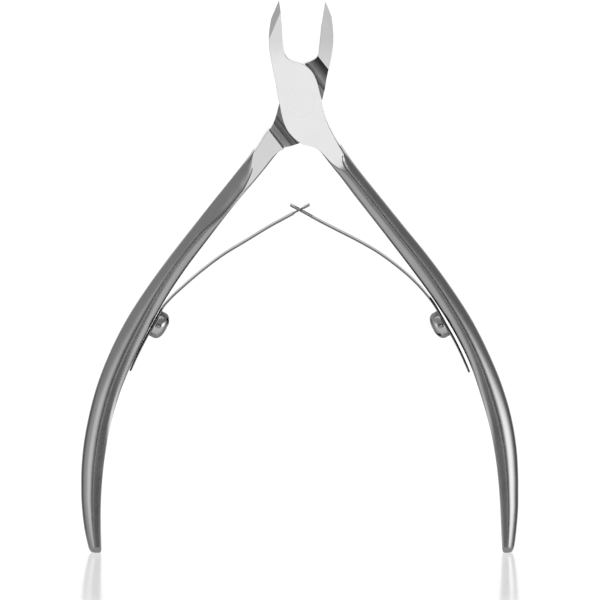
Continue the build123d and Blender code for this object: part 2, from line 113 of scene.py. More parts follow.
REAR_KEYS = [
    (5.35, 105.918, 3.95, 105.918),
    (5.45, 103.504, 3.95, 103.303),
    (5.65, 101.996, 3.96, 101.896),
    (5.937, 100.466, 3.97, 100.488),
    (6.1, 99.281, 3.97, 99.181),
    (6.218, 98.209, 3.93, 98.075),
    (6.293, 96.328, 3.72, 96.164),
    (6.106, 94.449, 3.53, 94.455),
    (6, 93.751, 3.45, 93.55),
    (5.88, 93.148, 3.15, 92.977),
    (5.75, 92.544, 2.291, 92.395),
    (5.6, 91.841, 0.888, 91.843),
    (5.45, 91.137, -0.664, 91.542),
    (5.3, 90.433, -1.636, 91.021),
    (5.18, 89.83, -2.309, 90.199),
    (5.04, 89.184, -2.758, 89.246),
    (4.87, 88.221, -3.095, 88.394),
    (4.703, 87.115, -3.394, 86.814),
    (4.47, 86.21, -3.6, 85.606),
    (4.273, 85.323, -3.787, 84.483),
    (3.974, 84.358, -4.05, 83.495),
    (3.656, 82.525, -4.3, 82.439),
    (3.226, 80.852, -4.815, 80.91),
    (2.571, 79.348, -5.2, 80.127),
    (1.561, 78.088, -5.563, 79.615),
    (0.8, 77.454, -5.85, 79.484),
    (0.065, 76.981, -6.06, 79.383),
    (-0.55, 76.74, -6.405, 78.91),
    (-1.075, 76.562, -6.7, 78.518),
    (-1.823, 76.32, -7.059, 77.902),
    (-3.039, 76.046, -7.5, 77.14),
    (-3.88, 75.634, -7.9, 76.506),
    (-4.75, 74.639, -8.25, 75.998),
    (-5.787, 73.302, -8.606, 75.658),
    (-6.75, 72.089, -9.5, 74.483),
    (-7.722, 70.907, -10.423, 73.304),
    (-9.03, 69.359, -11.68, 71.719),
    (-10.335, 67.837, -12.935, 70.123),
    (-13.371, 64.061, -16.069, 66.222),
    (-17.084, 59.108, -19.938, 61.323),
    (-21.306, 53.462, -24.303, 55.698),
    (-25.28, 47.44, -28.689, 49.645),
    (-28.565, 41.432, -32.531, 43.609),
    (-31.456, 35.548, -35.624, 37.447),
    (-33.773, 29.762, -38.032, 31.166),
    (-35.32, 24.314, -39.578, 25.283),
    (-36.357, 18.849, -40.58, 19.427),
    (-36.977, 13.386, -40.966, 13.571),
    (-37.233, 8.625, -40.821, 8.523),
    (-37.224, 4.571, -40.321, 4.279),
    (-37.13, 1.307, -39.66, 1.207),
    (-37.08, 0, -39.35, 0),
]

# Cross-section at some of those pairs: (pair index, half depth, inner corner
# width, outer corner width, inner corner depth, outer corner depth, crease
# height, inner facet, polish). Widths under 1 with a minus sign are parts of
# the whole width.
FRONT_SECT = [
    (0, 3.25, 0.10, 0.10, 0.10, 0.10, 0.0, 0.0, 1.0),
    (27, 3.25, 0.10, 0.12, 0.10, 0.12, 0.0, 0.0, 1.0),
    (29, 3.25, 0.10, 0.18, 0.10, 0.25, 0.0, 0.0, 1.0),
    (30, 3.25, 0.11, 0.28, 0.11, 0.60, 0.0, 0.0, 1.0),
    (31, 3.25, 0.22, 0.30, 0.20, 0.80, 0.0, 1.0, 1.0),
    (32, 3.25, 0.42, 0.45, 0.38, 1.90, 0.0, 0.9, 1.0),
    (33, 3.25, 0.85, 1.60, 0.70, 2.80, 0.0, 0.3, 0.9),
    (34, 3.20, 1.45, 1.75, 1.05, 3.00, 0.0, 0.0, 0.0),
    (35, 3.04, -0.52, -0.46, -0.46, -0.95, 0.0, 0.0, 0.0),
    (36, 2.94, -0.52, -0.46, -0.46, -0.95, 0.0, 0.0, 0.0),
    (38, 2.76, -0.52, -0.46, -0.46, -0.95, 0.0, 0.0, 0.0),
    (40, 2.66, -0.45, -0.53, -0.40, -0.95, 0.0, 0.2, 0.0),
    (42, 2.62, -0.40, -0.57, -0.16, -0.95, 0.0, 0.4, 0.0),
    (44, 2.60, -0.40, -0.58, -0.040, -0.95, 0.0, 0.6, 0.0),
    (46, 2.45, -0.40, -0.58, -0.040, -0.95, 0.0, 0.6, 0.0),
    (48, 2.20, -0.40, -0.58, -0.040, -0.95, 0.0, 0.6, 0.0),
    (49, 2.10, -0.40, -0.58, -0.040, -0.95, 0.0, 0.6, 0.0)]
REAR_SECT = [
    (0, 3.25, 0.10, 0.10, 0.10, 0.10, 0.0, 0.0, 1.0),
    (28, 3.25, 0.10, 0.10, 0.10, 0.10, 0.0, 0.0, 1.0),
    (31, 3.25, 0.10, 0.10, 0.10, 0.10, 0.01, 1.0, 1.0),
    (32, 3.25, 0.34, 0.11, 0.28, 0.16, 0.03, 1.0, 1.0),
    (33, 3.25, 0.38, 0.13, 0.32, 0.30, 0.04, 1.0, 1.0),
    (34, 3.25, 0.38, -0.23, 0.32, 2.20, 0.08, 1.0, 1.0),
    (35, 3.25, 0.38, -0.53, 0.32, -0.93, 0.10, 1.0, 1.0),
    (36, 3.25, 0.38, -0.73, 0.32, -0.94, 0.10, 1.0, 1.0),
    (37, 3.23, 0.38, -0.86, 0.34, -0.95, 0.08, 0.8, 1.0),
    (38, 3.05, 0.40, -0.84, 0.45, -0.95, 0.03, 0.0, 0.0),
    (39, 2.92, -0.45, -0.53, -0.42, -0.95, 0.0, 0.0, 0.0),
    (40, 2.80, -0.52, -0.46, -0.46, -0.95, 0.0, 0.0, 0.0),
    (42, 2.66, -0.37, -0.56, -0.34, -0.95, 0.0, 0.0, 0.0),
    (44, 2.62, -0.40, -0.57, -0.16, -0.95, 0.0, 0.4, 0.0),
    (46, 2.60, -0.40, -0.58, -0.040, -0.95, 0.0, 0.6, 0.0),
    (48, 2.45, -0.40, -0.58, -0.040, -0.95, 0.0, 0.6, 0.0),
    (50, 2.20, -0.40, -0.58, -0.040, -0.95, 0.0, 0.6, 0.0),
    (51, 2.10, -0.40, -0.58, -0.040, -0.95, 0.0, 0.6, 0.0)]


# ------------------------------------------------------------- interpolation
def hermite(ts, vs, t):
    """Smooth curve through values vs at increasing parameters ts."""
    n = len(ts)
    if t <= ts[0]:
        return vs[0]
    if t >= ts[-1]:
        return vs[-1]
    i = max(j for j in range(n - 1) if ts[j] <= t)

    def slope(j):
        if j == 0:
            return (vs[1] - vs[0]) / (ts[1] - ts[0])
        if j == n - 1:
            return (vs[-1] - vs[-2]) / (ts[-1] - ts[-2])
        h0, h1 = ts[j] - ts[j - 1], ts[j + 1] - ts[j]
        d0, d1 = (vs[j] - vs[j - 1]) / h0, (vs[j + 1] - vs[j]) / h1
        return (d0 * h1 + d1 * h0) / (h0 + h1)

    h = ts[i + 1] - ts[i]
    u = (t - ts[i]) / h
    m0, m1 = slope(i) * h, slope(i + 1) * h
    return ((2 * u**3 - 3 * u**2 + 1) * vs[i] + (u**3 - 2 * u**2 + u) * m0
            + (-2 * u**3 + 3 * u**2) * vs[i + 1] + (u**3 - u**2) * m1)


def monotone(ts, vs, t):
    """Smooth curve that never runs past the values it joins."""
    n = len(ts)
    if t <= ts[0]:
        return vs[0]
    if t >= ts[-1]:
        return vs[-1]
    i = max(j for j in range(n - 1) if ts[j] <= t)

    def slope(j):
        if j == 0 or j == n - 1:
            return 0.0
        d0 = (vs[j] - vs[j - 1]) / (ts[j] - ts[j - 1])
        d1 = (vs[j + 1] - vs[j]) / (ts[j + 1] - ts[j])
        return 0.0 if d0 * d1 <= 0 else 2 * d0 * d1 / (d0 + d1)

    h = ts[i + 1] - ts[i]
    u = (t - ts[i]) / h
    m0, m1 = slope(i) * h, slope(i + 1) * h
    return ((2 * u**3 - 3 * u**2 + 1) * vs[i] + (u**3 - 2 * u**2 + u) * m0
            + (-2 * u**3 + 3 * u**2) * vs[i + 1] + (u**3 - u**2) * m1)


def linear(ts, vs, t):
    if t <= ts[0]:
        return vs[0]
    if t >= ts[-1]:
        return vs[-1]
    i = max(j for j in range(len(ts) - 1) if ts[j] <= t)
    u = (t - ts[i]) / (ts[i + 1] - ts[i])
    return vs[i] + (vs[i + 1] - vs[i]) * u


def link(obj):
    bpy.context.scene.collection.objects.link(obj)
    return obj


# --------------------------------------------------------------------- meshes
def arm_mesh(name, keys, sect, step=0.3):
    """The whole arm as rings of points from jaw to handle end."""
    ts = [0.0]
    for a, b in zip(keys, keys[1:]):
        da = math.hypot(b[0] - a[0], b[1] - a[1])
        db = math.hypot(b[2] - a[2], b[3] - a[3])
        ts.append(ts[-1] + max((da + db) / 2, 0.05))
    cols = [[k[i] for k in keys] for i in range(4)]
    st = [ts[s[0]] for s in sect]
    total = ts[-1]
    n = int(total / step)
    cap = 1.3                       # the rounded end, mm
    stops = [total * i / n for i in range(n + 1)]
    stops = [s for s in stops if s < total - cap]
    stops += [total - cap + cap * math.sin(math.pi / 2 * i / 12)
              for i in range(13)]
    verts, faces, attr, uvs = [], [], [], []
    N_O, N_F, N_I, N_WO, N_WI = 18, 6, 16, 4, 5
    ring_n = None
    for t in stops:
        ax, az, bx, bz = [hermite(ts, c, t) for c in cols]
        bx = max(-40.945, min(40.955, bx))
        w = math.hypot(bx - ax, bz - az)
        b, wi, wo, di, do, crease, facet, pol = [
            (monotone if j < 6 else linear)(
                st, [s[j] if s[j] >= 0 or j not in (2, 3, 4, 5)
                     else abs(s[j]) * (w if j in (2, 3) else s[1])
                     for s in sect], t) for j in range(1, 9)]
        wi, wo, di, do = max(wi, 0.08), max(wo, 0.08), max(di, 0.08), max(do, 0.08)
        b = min(b, FACE)
        crease = min(crease, 0.035 * do)
        wi, wo = min(wi, 0.97 * w - 0.02), min(wo, 0.97 * w)
        if wi + wo > 0.985 * w:
            f = 0.985 * w / (wi + wo)
            wi, wo = wi * f, wo * f
        di, do = min(di, b * 0.96), min(do, b * 0.96)
        # rounded end
        k = 1.0
        if t > total - cap:
            q = (t - (total - cap)) / cap
            k = max(1 - q ** 2.6, 0.0) ** (1 / 2.6)
            k = 0.30 + 0.70 * k
        pi_ = 2.1 + facet
        half = []      # (distance from the A side, depth), outer edge first
        top = b + crease
        p = 2.25 - 0.17 * (1 - min(pol, 1.0))
        s_max = ((b - (top - do)) / do)
        th1 = math.asin(min(1.0, s_max ** (p / 2)))
        v0 = max(math.cos(th1), 0.0) ** (2 / p)
        for i in range(N_O):
            th = th1 * i / (N_O - 1)
            v = (max(math.cos(th), 0.0) ** (2 / p) - v0) / (1 - v0)
            h = (top - do) + do * math.sin(th) ** (2 / p)
            half.append((w - wo + wo * v, h))
        for i in range(1, N_F):
            half.append((w - wo - (w - wo - wi) * i / N_F, b))
        for i in range(N_I):
            th = math.pi / 2 * (1 - i / (N_I - 1))
            v = max(math.cos(th), 0.0) ** (2 / pi_)
            h1 = (b - di) + di * max(math.sin(th), 0.0) ** (2 / pi_)
            # creased form: crown, then a straight facet
            vv = i / (N_I - 1)
            crown = 0.06 * min(1.0, wi / 2.4)
            if vv < 0.54:
                h2 = b - crown * (vv / 0.54) ** 2
            else:
                h2 = (b - crown) - (di - crown) * ((vv - 0.54) / 0.46)
            v2 = vv
            x = wi - wi * (v * (1 - facet) + v2 * facet)
            half.append((x, h1 * (1 - facet) + h2 * facet))
        # the handles are very slightly ridged along the middle
        ridge = 0.07 * (1 - min(pol, 1.0)) if t > st[-7] else 0.0
        if st[-8] < t <= st[-7]:
            ridge = 0.07 * (t - st[-8]) / (st[-7] - st[-8])
        for i, (x, h) in enumerate(half):
            if x > w - wo:
                q = x - (w - wo)
                h -= ridge * q * (1 - (q / wo) ** 3)
            elif x < wi:
                h -= ridge * (wi - x)
            half[i] = (x, h)
        front = [(x, -h) for x, h in half]
        back = [(x, h) for x, h in reversed(half)]
        ring = list(front)
        y0, y1 = front[-1][1], back[0][1]
        for i in range(1, N_WI):
            ring.append((0.0, y0 + (y1 - y0) * i / N_WI))
        ring += back
        y0, y1 = back[-1][1], front[0][1]
        for i in range(1, N_WO):
            ring.append((w, y0 + (y1 - y0) * i / N_WO))
        ring_n = len(ring)
        ux, uz = (bx - ax) / w, (bz - az) / w
        per = 0.0
        last = None
        for j, (x, y) in enumerate(ring):
            xm = w * 0.5 + (x - w * 0.5) * (0.25 + 0.75 * k)
            ym = y * (0.35 + 0.65 * k)
            verts.append((MM * (ax + ux * xm), MM * ym, MM * (az + uz * xm)))
            if last is not None:
                per += math.hypot(x - last[0], y - last[1])
            last = (x, y)
            # polish: full on the ground flat, none on the rounded sides
            flat_in = wi * 0.5 <= x <= w - wo + 0.001
            d = 0.0
            if x > w - wo:
                d = x - (w - wo)
            elif x < wi:
                d = wi - x
            if crease > 0.001:
                pv = 1.0 if d < 0.02 or x < wi else 0.0
            else:
                near = sect is FRONT_SECT and ts[30] < t < ts[35]
                pv = max(0.0, 1.0 - d / (0.12 if near else 0.55))
            if sect is FRONT_SECT and t < ts[29] or sect is REAR_SECT and t < ts[30]:
                pv = 1.0
            attr.append(pv * pol)
            uvs.append((t, 20.0 * j / len(ring)))
    rows = len(stops)
    for r in range(rows - 1):
        for j in range(ring_n):
            a = r * ring_n + j
            b_ = r * ring_n + (j + 1) % ring_n
            faces.append((a, b_, b_ + ring_n, a + ring_n))
    faces.append(tuple(reversed(range(ring_n))))
    faces.append(tuple((rows - 1) * ring_n + j for j in range(ring_n)))
    me = bpy.data.meshes.new(name)
    me.from_pydata(verts, [], faces)
    me.update()
    at = me.attributes.new("polish_and_edge_shade", "FLOAT", "POINT")
    at.data.foreach_set("value", attr)
    al = me.attributes.new("along", "FLOAT", "POINT")
    al.data.foreach_set("value", [u for u, _ in uvs])
    ac = me.attributes.new("across", "FLOAT", "POINT")
    ac.data.foreach_set("value", [v for _, v in uvs])
    bm = bmesh.new()
    bm.from_mesh(me)
    bmesh.ops.recalc_face_normals(bm, faces=bm.faces)
    bm.to_mesh(me)
    bm.free()
    return link(bpy.data.objects.new(name, me))


def prism(name, pts, y0, y1):
    """Solid between two depths (mm) over a polygon of (x, z) in mm."""
    n = len(pts)
    vs = [(MM * x, MM * y0, MM * z) for x, z in pts]
    vs += [(MM * x, MM * y1, MM * z) for x, z in pts]
    fs = [tuple(range(n)), tuple(reversed(range(n, 2 * n)))]
    fs += [(i, i + n, (i + 1) % n + n, (i + 1) % n) for i in range(n)]
    me = bpy.data.meshes.new(name)
    me.from_pydata(vs, [], fs)
    bm = bmesh.new()
    bm.from_mesh(me)
    bmesh.ops.recalc_face_normals(bm, faces=bm.faces)
    bm.to_mesh(me)
    bm.free()
    return link(bpy.data.objects.new(name, me))


def plane_block(name, low, tip, foot, sign, along, across, thick, shift=0.0,
                bow=0.0):
    """Block standing on the plane through a cutting edge, used to grind it."""
    p = Vector((low[0], -FACE, low[1]))
    q = Vector((tip[0], FACE, tip[1]))
    r = Vector((foot[0], -FACE, foot[1]))
    nrm = (q - p).cross(r - p).normalized()
    if nrm.x * sign < 0:
        nrm.negate()
    ex = (r - p).normalized()
    ey = nrm.cross(ex)
    n = 24 if bow else 1
    vs, fs = [], []
    for i in range(n + 1):
        u = -along + 2 * along * i / n
        lift = -bow * ((u + shift) / along) ** 2 if bow else 0.0
        for v in (-across, across):
            for w in (lift, thick):
                c = p + ex * (u + shift) + ey * v + nrm * w
                vs.append(tuple(c * MM))
    for i in range(n):
        a = i * 4
        fs += [(a, a + 2, a + 6, a + 4), (a + 1, a + 5, a + 7, a + 3),
               (a, a + 4, a + 5, a + 1), (a + 2, a + 3, a + 7, a + 6)]
    fs += [(0, 1, 3, 2), (n * 4, n * 4 + 2, n * 4 + 3, n * 4 + 1)]
    me = bpy.data.meshes.new(name)
    me.from_pydata(vs, [], fs)
    bm = bmesh.new()
    bm.from_mesh(me)
    bmesh.ops.recalc_face_normals(bm, faces=bm.faces)
    bm.to_mesh(me)
    bm.free()
    return link(bpy.data.objects.new(name, me))


def lathe(name, profile, origin, axis, seg=96):
    """Closed solid of revolution. profile: (radius, height) in mm."""
    axis = Vector(axis).normalized()
    side = Vector((0, 1, 0))
    if abs(axis.dot(side)) > 0.9:
        side = Vector((1, 0, 0))
    ex = (side - axis * side.dot(axis)).normalized()
    ey = axis.cross(ex)
    o = Vector(origin)
    vs, fs = [], []
    rings = []
    for r, h in profile:
        if r < 1e-6:
            rings.append([len(vs)])
            vs.append(tuple((o + axis * h) * MM))
        else:
            idx = []
            for i in range(seg):
                a = 2 * math.pi * i / seg
                c = o + axis * h + (ex * math.cos(a) + ey * math.sin(a)) * r
                idx.append(len(vs))
                vs.append(tuple(c * MM))
            rings.append(idx)
    for a, b in zip(rings, rings[1:]):
        for i in range(seg):
            j = (i + 1) % seg
            if len(a) == 1:
                fs.append((a[0], b[i], b[j]))
            elif len(b) == 1:
                fs.append((a[i], b[0], a[j]))
            else:
                fs.append((a[i], b[i], b[j], a[j]))
    me = bpy.data.meshes.new(name)
    me.from_pydata(vs, [], fs)
    bm = bmesh.new()
    bm.from_mesh(me)
    bmesh.ops.recalc_face_normals(bm, faces=bm.faces)
    bm.to_mesh(me)
    bm.free()
    return link(bpy.data.objects.new(name, me))


def cut(obj, tool, how="DIFFERENCE"):
    """Apply a boolean and throw the tool away."""
    m = obj.modifiers.new("cut", "BOOLEAN")
    m.object = tool
    m.operation = how
    m.solver = "EXACT"
    m.material_mode = "TRANSFER"
    dg = bpy.context.evaluated_depsgraph_get()
    me = bpy.data.meshes.new_from_object(obj.evaluated_get(dg),
                                         preserve_all_data_layers=True,
                                         depsgraph=dg)
    obj.modifiers.clear()
    old = obj.data
    obj.data = me
    me.name = old.name + "_c"
    bpy.data.meshes.remove(old)
    tm = tool.data
    bpy.data.objects.remove(tool)
    bpy.data.meshes.remove(tm)


def finish_mesh(obj, angle=24.0, weld=1e-7, flats=False, above=None):
    """Drop doubles, mark sharp edges, shade smooth with weighted normals.
    Everything higher than above is polished."""
    me = obj.data
    if above is not None:
        at = me.attributes["polish_and_edge_shade"].data
        for v in me.vertices:
            if v.co.z > above:
                at[v.index].value = 1.0
    bm = bmesh.new()
    bm.from_mesh(me)
    bmesh.ops.remove_doubles(bm, verts=bm.verts, dist=weld)
    bmesh.ops.dissolve_degenerate(bm, dist=1e-7, edges=bm.edges)
    lim = math.radians(angle)
    for e in bm.edges:
        if len(e.link_faces) == 2:
            a = e.link_faces[0].normal.angle(e.link_faces[1].normal, 0.0)
            e.smooth = a < lim
    low = (above or 0.0) - 0.002
    for f in bm.faces:
        f.smooth = not (flats and abs(f.normal.y) > 0.99995
                        and f.calc_center_median().z > low)
    bm.to_mesh(me)
    bm.free()
    wn = obj.modifiers.new("normals", "WEIGHTED_NORMAL")
    wn.keep_sharp = True
    wn.weight = 60


def settle_tip(obj):
    """Ease the very tip of a jaw down to the height of the part."""
    for v in obj.data.vertices:
        u = (v.co.z - 0.100) / 0.003487
        if u > 0:
            v.co.z -= 0.000075 * u * u


def paint(obj, mat):
    obj.data.materials.clear()
    obj.data.materials.append(mat)


# ------------------------------------------------------------------ materials
def new_mat(name):
    m = bpy.data.materials.new(name)
    m.use_nodes = True
    nt = m.node_tree
    return m, nt, nt.nodes, nt.nodes["Principled BSDF"]


def math_node(nt, op, a, b=None, clamp=False):
    n = nt.nodes.new("ShaderNodeMath")
    n.operation = op
    n.use_clamp = clamp
    for i, v in enumerate((a, b)):
        if v is None:
            continue
        if isinstance(v, (int, float)):
            n.inputs[i].default_value = v
        else:
            nt.links.new(v, n.inputs[i])
    return n.outputs[0]


def attr(nt, name):
    n = nt.nodes.new("ShaderNodeAttribute")
    n.attribute_name = name
    return n.outputs["Fac"]


def noise(nt, vec, scale, detail=3.0, rough=0.55):
    n = nt.nodes.new("ShaderNodeTexNoise")
    n.inputs["Scale"].default_value = scale
    n.inputs["Detail"].default_value = detail
    n.inputs["Roughness"].default_value = rough
    if vec is not None:
        nt.links.new(vec, n.inputs["Vector"])
    return n.outputs["Fac"]


def obj_coords(nt, scale=(1, 1, 1), rot=(0, 0, 0)):
    tc = nt.nodes.new("ShaderNodeTexCoord")
    mp = nt.nodes.new("ShaderNodeMapping")
    mp.inputs["Scale"].default_value = scale
    mp.inputs["Rotation"].default_value = rot
    nt.links.new(tc.outputs["Object"], mp.inputs["Vector"])
    return mp.outputs["Vector"]


def remap(nt, fac, lo, hi):
    n = nt.nodes.new("ShaderNodeMapRange")
    n.inputs["To Min"].default_value = lo
    n.inputs["To Max"].default_value = hi
    nt.links.new(fac, n.inputs["Value"])
    return n.outputs["Result"]


def mixf(nt, fac, a, b):
    n = nt.nodes.new("ShaderNodeMix")
    n.data_type = "FLOAT"
    if isinstance(fac, (int, float)):
        n.inputs[0].default_value = fac
    else:
        nt.links.new(fac, n.inputs[0])
    for i, v in ((2, a), (3, b)):
        if isinstance(v, (int, float)):
            n.inputs[i].default_value = v
        else:
            nt.links.new(v, n.inputs[i])
    return n.outputs[0]


def grey(nt, val, tint=(1.0, 1.0, 1.0)):
    n = nt.nodes.new("ShaderNodeCombineColor")
    for i in range(3):
        nt.links.new(math_node(nt, "MULTIPLY", val, tint[i]), n.inputs[i])
    return n.outputs[0]


def bump(nt, bsdf, height, strength, dist=0.00002):
    n = nt.nodes.new("ShaderNodeBump")
    n.inputs["Strength"].default_value = strength
    n.inputs["Distance"].default_value = dist
    nt.links.new(height, n.inputs["Height"])
    nt.links.new(n.outputs["Normal"], bsdf.inputs["Normal"])
    return n


POL_ROUGH = 0.13
SAT_BASE, SAT_ROUGH = 0.36, 0.25


def arm_material(name="arm_steel", POL_BASE=0.83):
    m, nt, nodes, bsdf = new_mat(name)
    pol = attr(nt, "polish_and_edge_shade")
    along, across = attr(nt, "along"), attr(nt, "across")
    cv = nt.nodes.new("ShaderNodeCombineXYZ")
    nt.links.new(math_node(nt, "MULTIPLY", along, 0.22), cv.inputs[0])
    nt.links.new(math_node(nt, "MULTIPLY", across, 4.5), cv.inputs[1])
    brush = noise(nt, cv.outputs[0], 1.0, 4.0, 0.6)
    cloud = noise(nt, obj_coords(nt), 220.0, 3.0)
    blast = noise(nt, obj_coords(nt), 9000.0, 2.0)
    fine = noise(nt, obj_coords(nt, (900, 900, 9000), (0, 0.55, 0)), 1.0, 3.0)
    base_s = math_node(nt, "ADD", remap(nt, brush, -0.03, 0.03),
                       remap(nt, cloud, SAT_BASE - 0.035, SAT_BASE + 0.035))
    tc = nt.nodes.new("ShaderNodeTexCoord")
    sz = nt.nodes.new("ShaderNodeSeparateXYZ")
    nt.links.new(tc.outputs["Object"], sz.inputs[0])
    # painted shade: the polished base colour falls from 1.0 to 0.85 times between z
    # 91.5 and 97.5 mm, darker towards the jaw tips
    jaw = nt.nodes.new("ShaderNodeMapRange")
    jaw.interpolation_type = "SMOOTHSTEP"
    jaw.inputs["From Min"].default_value = 0.0915
    jaw.inputs["From Max"].default_value = 0.0975
    jaw.inputs["To Min"].default_value = 1.0
    jaw.inputs["To Max"].default_value = 0.85
    nt.links.new(sz.outputs[2], jaw.inputs["Value"])
    base_p = math_node(nt, "ADD", remap(nt, cloud, -0.03, 0.03),
                       remap(nt, fine, POL_BASE - 0.015, POL_BASE + 0.015))
    base_p = math_node(nt, "MULTIPLY", base_p, jaw.outputs["Result"])
    base = mixf(nt, pol, base_s, base_p)
    nt.links.new(grey(nt, base, (1.0, 1.0, 1.003)), bsdf.inputs["Base Color"])
    r_s = math_node(nt, "ADD", remap(nt, brush, -0.03, 0.03),
                    remap(nt, cloud, SAT_ROUGH - 0.03, SAT_ROUGH + 0.03))
    r_p = math_node(nt, "ADD", remap(nt, fine, -0.02, 0.02),
                    remap(nt, cloud, POL_ROUGH - 0.03, POL_ROUGH + 0.03))
    nt.links.new(mixf(nt, pol, r_s, r_p), bsdf.inputs["Roughness"])
    h_s = math_node(nt, "ADD", math_node(nt, "MULTIPLY", brush, 0.30),
                    math_node(nt, "MULTIPLY", blast, 0.15))
    h_p = math_node(nt, "MULTIPLY", fine, 0.12)
    bump(nt, bsdf, mixf(nt, pol, h_s, h_p), 0.03)
    bsdf.inputs["Metallic"].default_value = 1.0
    return m


def lap_material(name, nx, nz, c0, c1, stops):
    """Machined floor of the lap: tool lines parallel to its shoulders, over bands of
    painted shade and light.
    (nx, nz) is the direction across them, c0 and c1 the shoulders, in mm."""
    m, nt, nodes, bsdf = new_mat(name)
    tc = nt.nodes.new("ShaderNodeTexCoord")

    def dot(v):
        n = nt.nodes.new("ShaderNodeVectorMath")
        n.operation = "DOT_PRODUCT"
        nt.links.new(tc.outputs["Object"], n.inputs[0])
        n.inputs[1].default_value = v
        return n.outputs["Value"]

    c = dot((nx * 1000, 0, nz * 1000))
    l = dot((-nz * 1000, 0, nx * 1000))
    cv = nt.nodes.new("ShaderNodeCombineXYZ")
    nt.links.new(math_node(nt, "MULTIPLY", c, 4.0), cv.inputs[0])
    nt.links.new(math_node(nt, "MULTIPLY", l, 0.12), cv.inputs[1])
    lines = noise(nt, cv.outputs[0], 1.0, 3.0, 0.6)
    wob = noise(nt, obj_coords(nt), 350.0, 2.0)
    n = nt.nodes.new("ShaderNodeMapRange")
    n.inputs["From Min"].default_value = c0
    n.inputs["From Max"].default_value = c1
    nt.links.new(math_node(nt, "ADD", c, remap(nt, wob, 0.0, 0.06)),
                 n.inputs["Value"])
    # painted shade and light: the ramp sets the floor's value by distance across it,
    # with a dark line at the first shoulder, a painted highlight band beside it and
    # painted shadow deepening towards c1
    rp = nt.nodes.new("ShaderNodeValToRGB")
    els = rp.color_ramp.elements
    for i, (d, v) in enumerate(stops):
        pos = (d if d >= 0 else c1 - c0 + d) / (c1 - c0)
        if i == 0:
            e = els[0]
            e.position = pos
        elif i == len(stops) - 1:
            e = els[-1]
            e.position = pos
        else:
            e = els.new(pos)
        e.color = (v, v, v, 1)
    nt.links.new(n.outputs["Result"], rp.inputs[0])
    val = math_node(nt, "MULTIPLY", remap(nt, lines, 0.45, 1.55),
                    rp.outputs["Color"])
    nt.links.new(grey(nt, val), bsdf.inputs["Base Color"])
    nt.links.new(remap(nt, lines, 0.28, 0.42), bsdf.inputs["Roughness"])
    bump(nt, bsdf, lines, 0.35)
    bsdf.inputs["Metallic"].default_value = 1.0
    return m


def ground_material(name, base, rough, slope):
    """Ground facet, with very fine lines across the edge."""
    m, nt, nodes, bsdf = new_mat(name)
    lines = noise(nt, obj_coords(nt, (400, 400, 14000), (0, slope, 0)), 1.0,
                  3.0, 0.6)
    cloud = noise(nt, obj_coords(nt), 500.0, 2.0)
    val = math_node(nt, "ADD", remap(nt, lines, -0.05, 0.05),
                    remap(nt, cloud, base - 0.03, base + 0.03))
    nt.links.new(grey(nt, val), bsdf.inputs["Base Color"])
    nt.links.new(remap(nt, lines, rough - 0.04, rough + 0.05),
                 bsdf.inputs["Roughness"])
    bump(nt, bsdf, lines, 0.15)
    bsdf.inputs["Metallic"].default_value = 1.0
    return m


def spring_material():
    m, nt, nodes, bsdf = new_mat("spring_steel")
    along, across = attr(nt, "along"), attr(nt, "across")
    # painted shade: the mask is 1 on the broad faces and 0 on the rounded edges,
    # which face front and back; the edges get a dark base (0.31) against the broad
    # faces' 0.66 to 0.76, and a rougher finish
    rim = attr(nt, "polish_and_edge_shade")
    cv = nt.nodes.new("ShaderNodeCombineXYZ")
    nt.links.new(math_node(nt, "MULTIPLY", along, 0.3), cv.inputs[0])
    nt.links.new(math_node(nt, "MULTIPLY", across, 14.0), cv.inputs[1])
    grain = noise(nt, cv.outputs[0], 1.0, 4.0, 0.6)
    cloud = noise(nt, obj_coords(nt), 300.0, 2.0)
    face = math_node(nt, "ADD", remap(nt, grain, -0.05, 0.05),
                     remap(nt, cloud, 0.66, 0.76))
    # painted shadow: where painted_shadow is 1 the strip is near black (0.02), not
    # metallic and without specular, so the gap against the arm reads as shadow
    tone = mixf(nt, attr(nt, "painted_shadow"), mixf(nt, rim, 0.31, face), 0.02)
    nt.links.new(grey(nt, tone), bsdf.inputs["Base Color"])
    nt.links.new(mixf(nt, rim, 0.40, remap(nt, grain, 0.17, 0.30)),
                 bsdf.inputs["Roughness"])
    nt.links.new(remap(nt, attr(nt, "painted_shadow"), 1.0, 0.0),
                 bsdf.inputs["Metallic"])
    nt.links.new(remap(nt, attr(nt, "painted_shadow"), 0.5, 0.0),
                 bsdf.inputs["Specular IOR Level"])
    bump(nt, bsdf, grain, 0.12)
    bsdf.inputs["Specular Tint"].default_value = (0.75, 0.75, 0.75, 1.0)
    return m


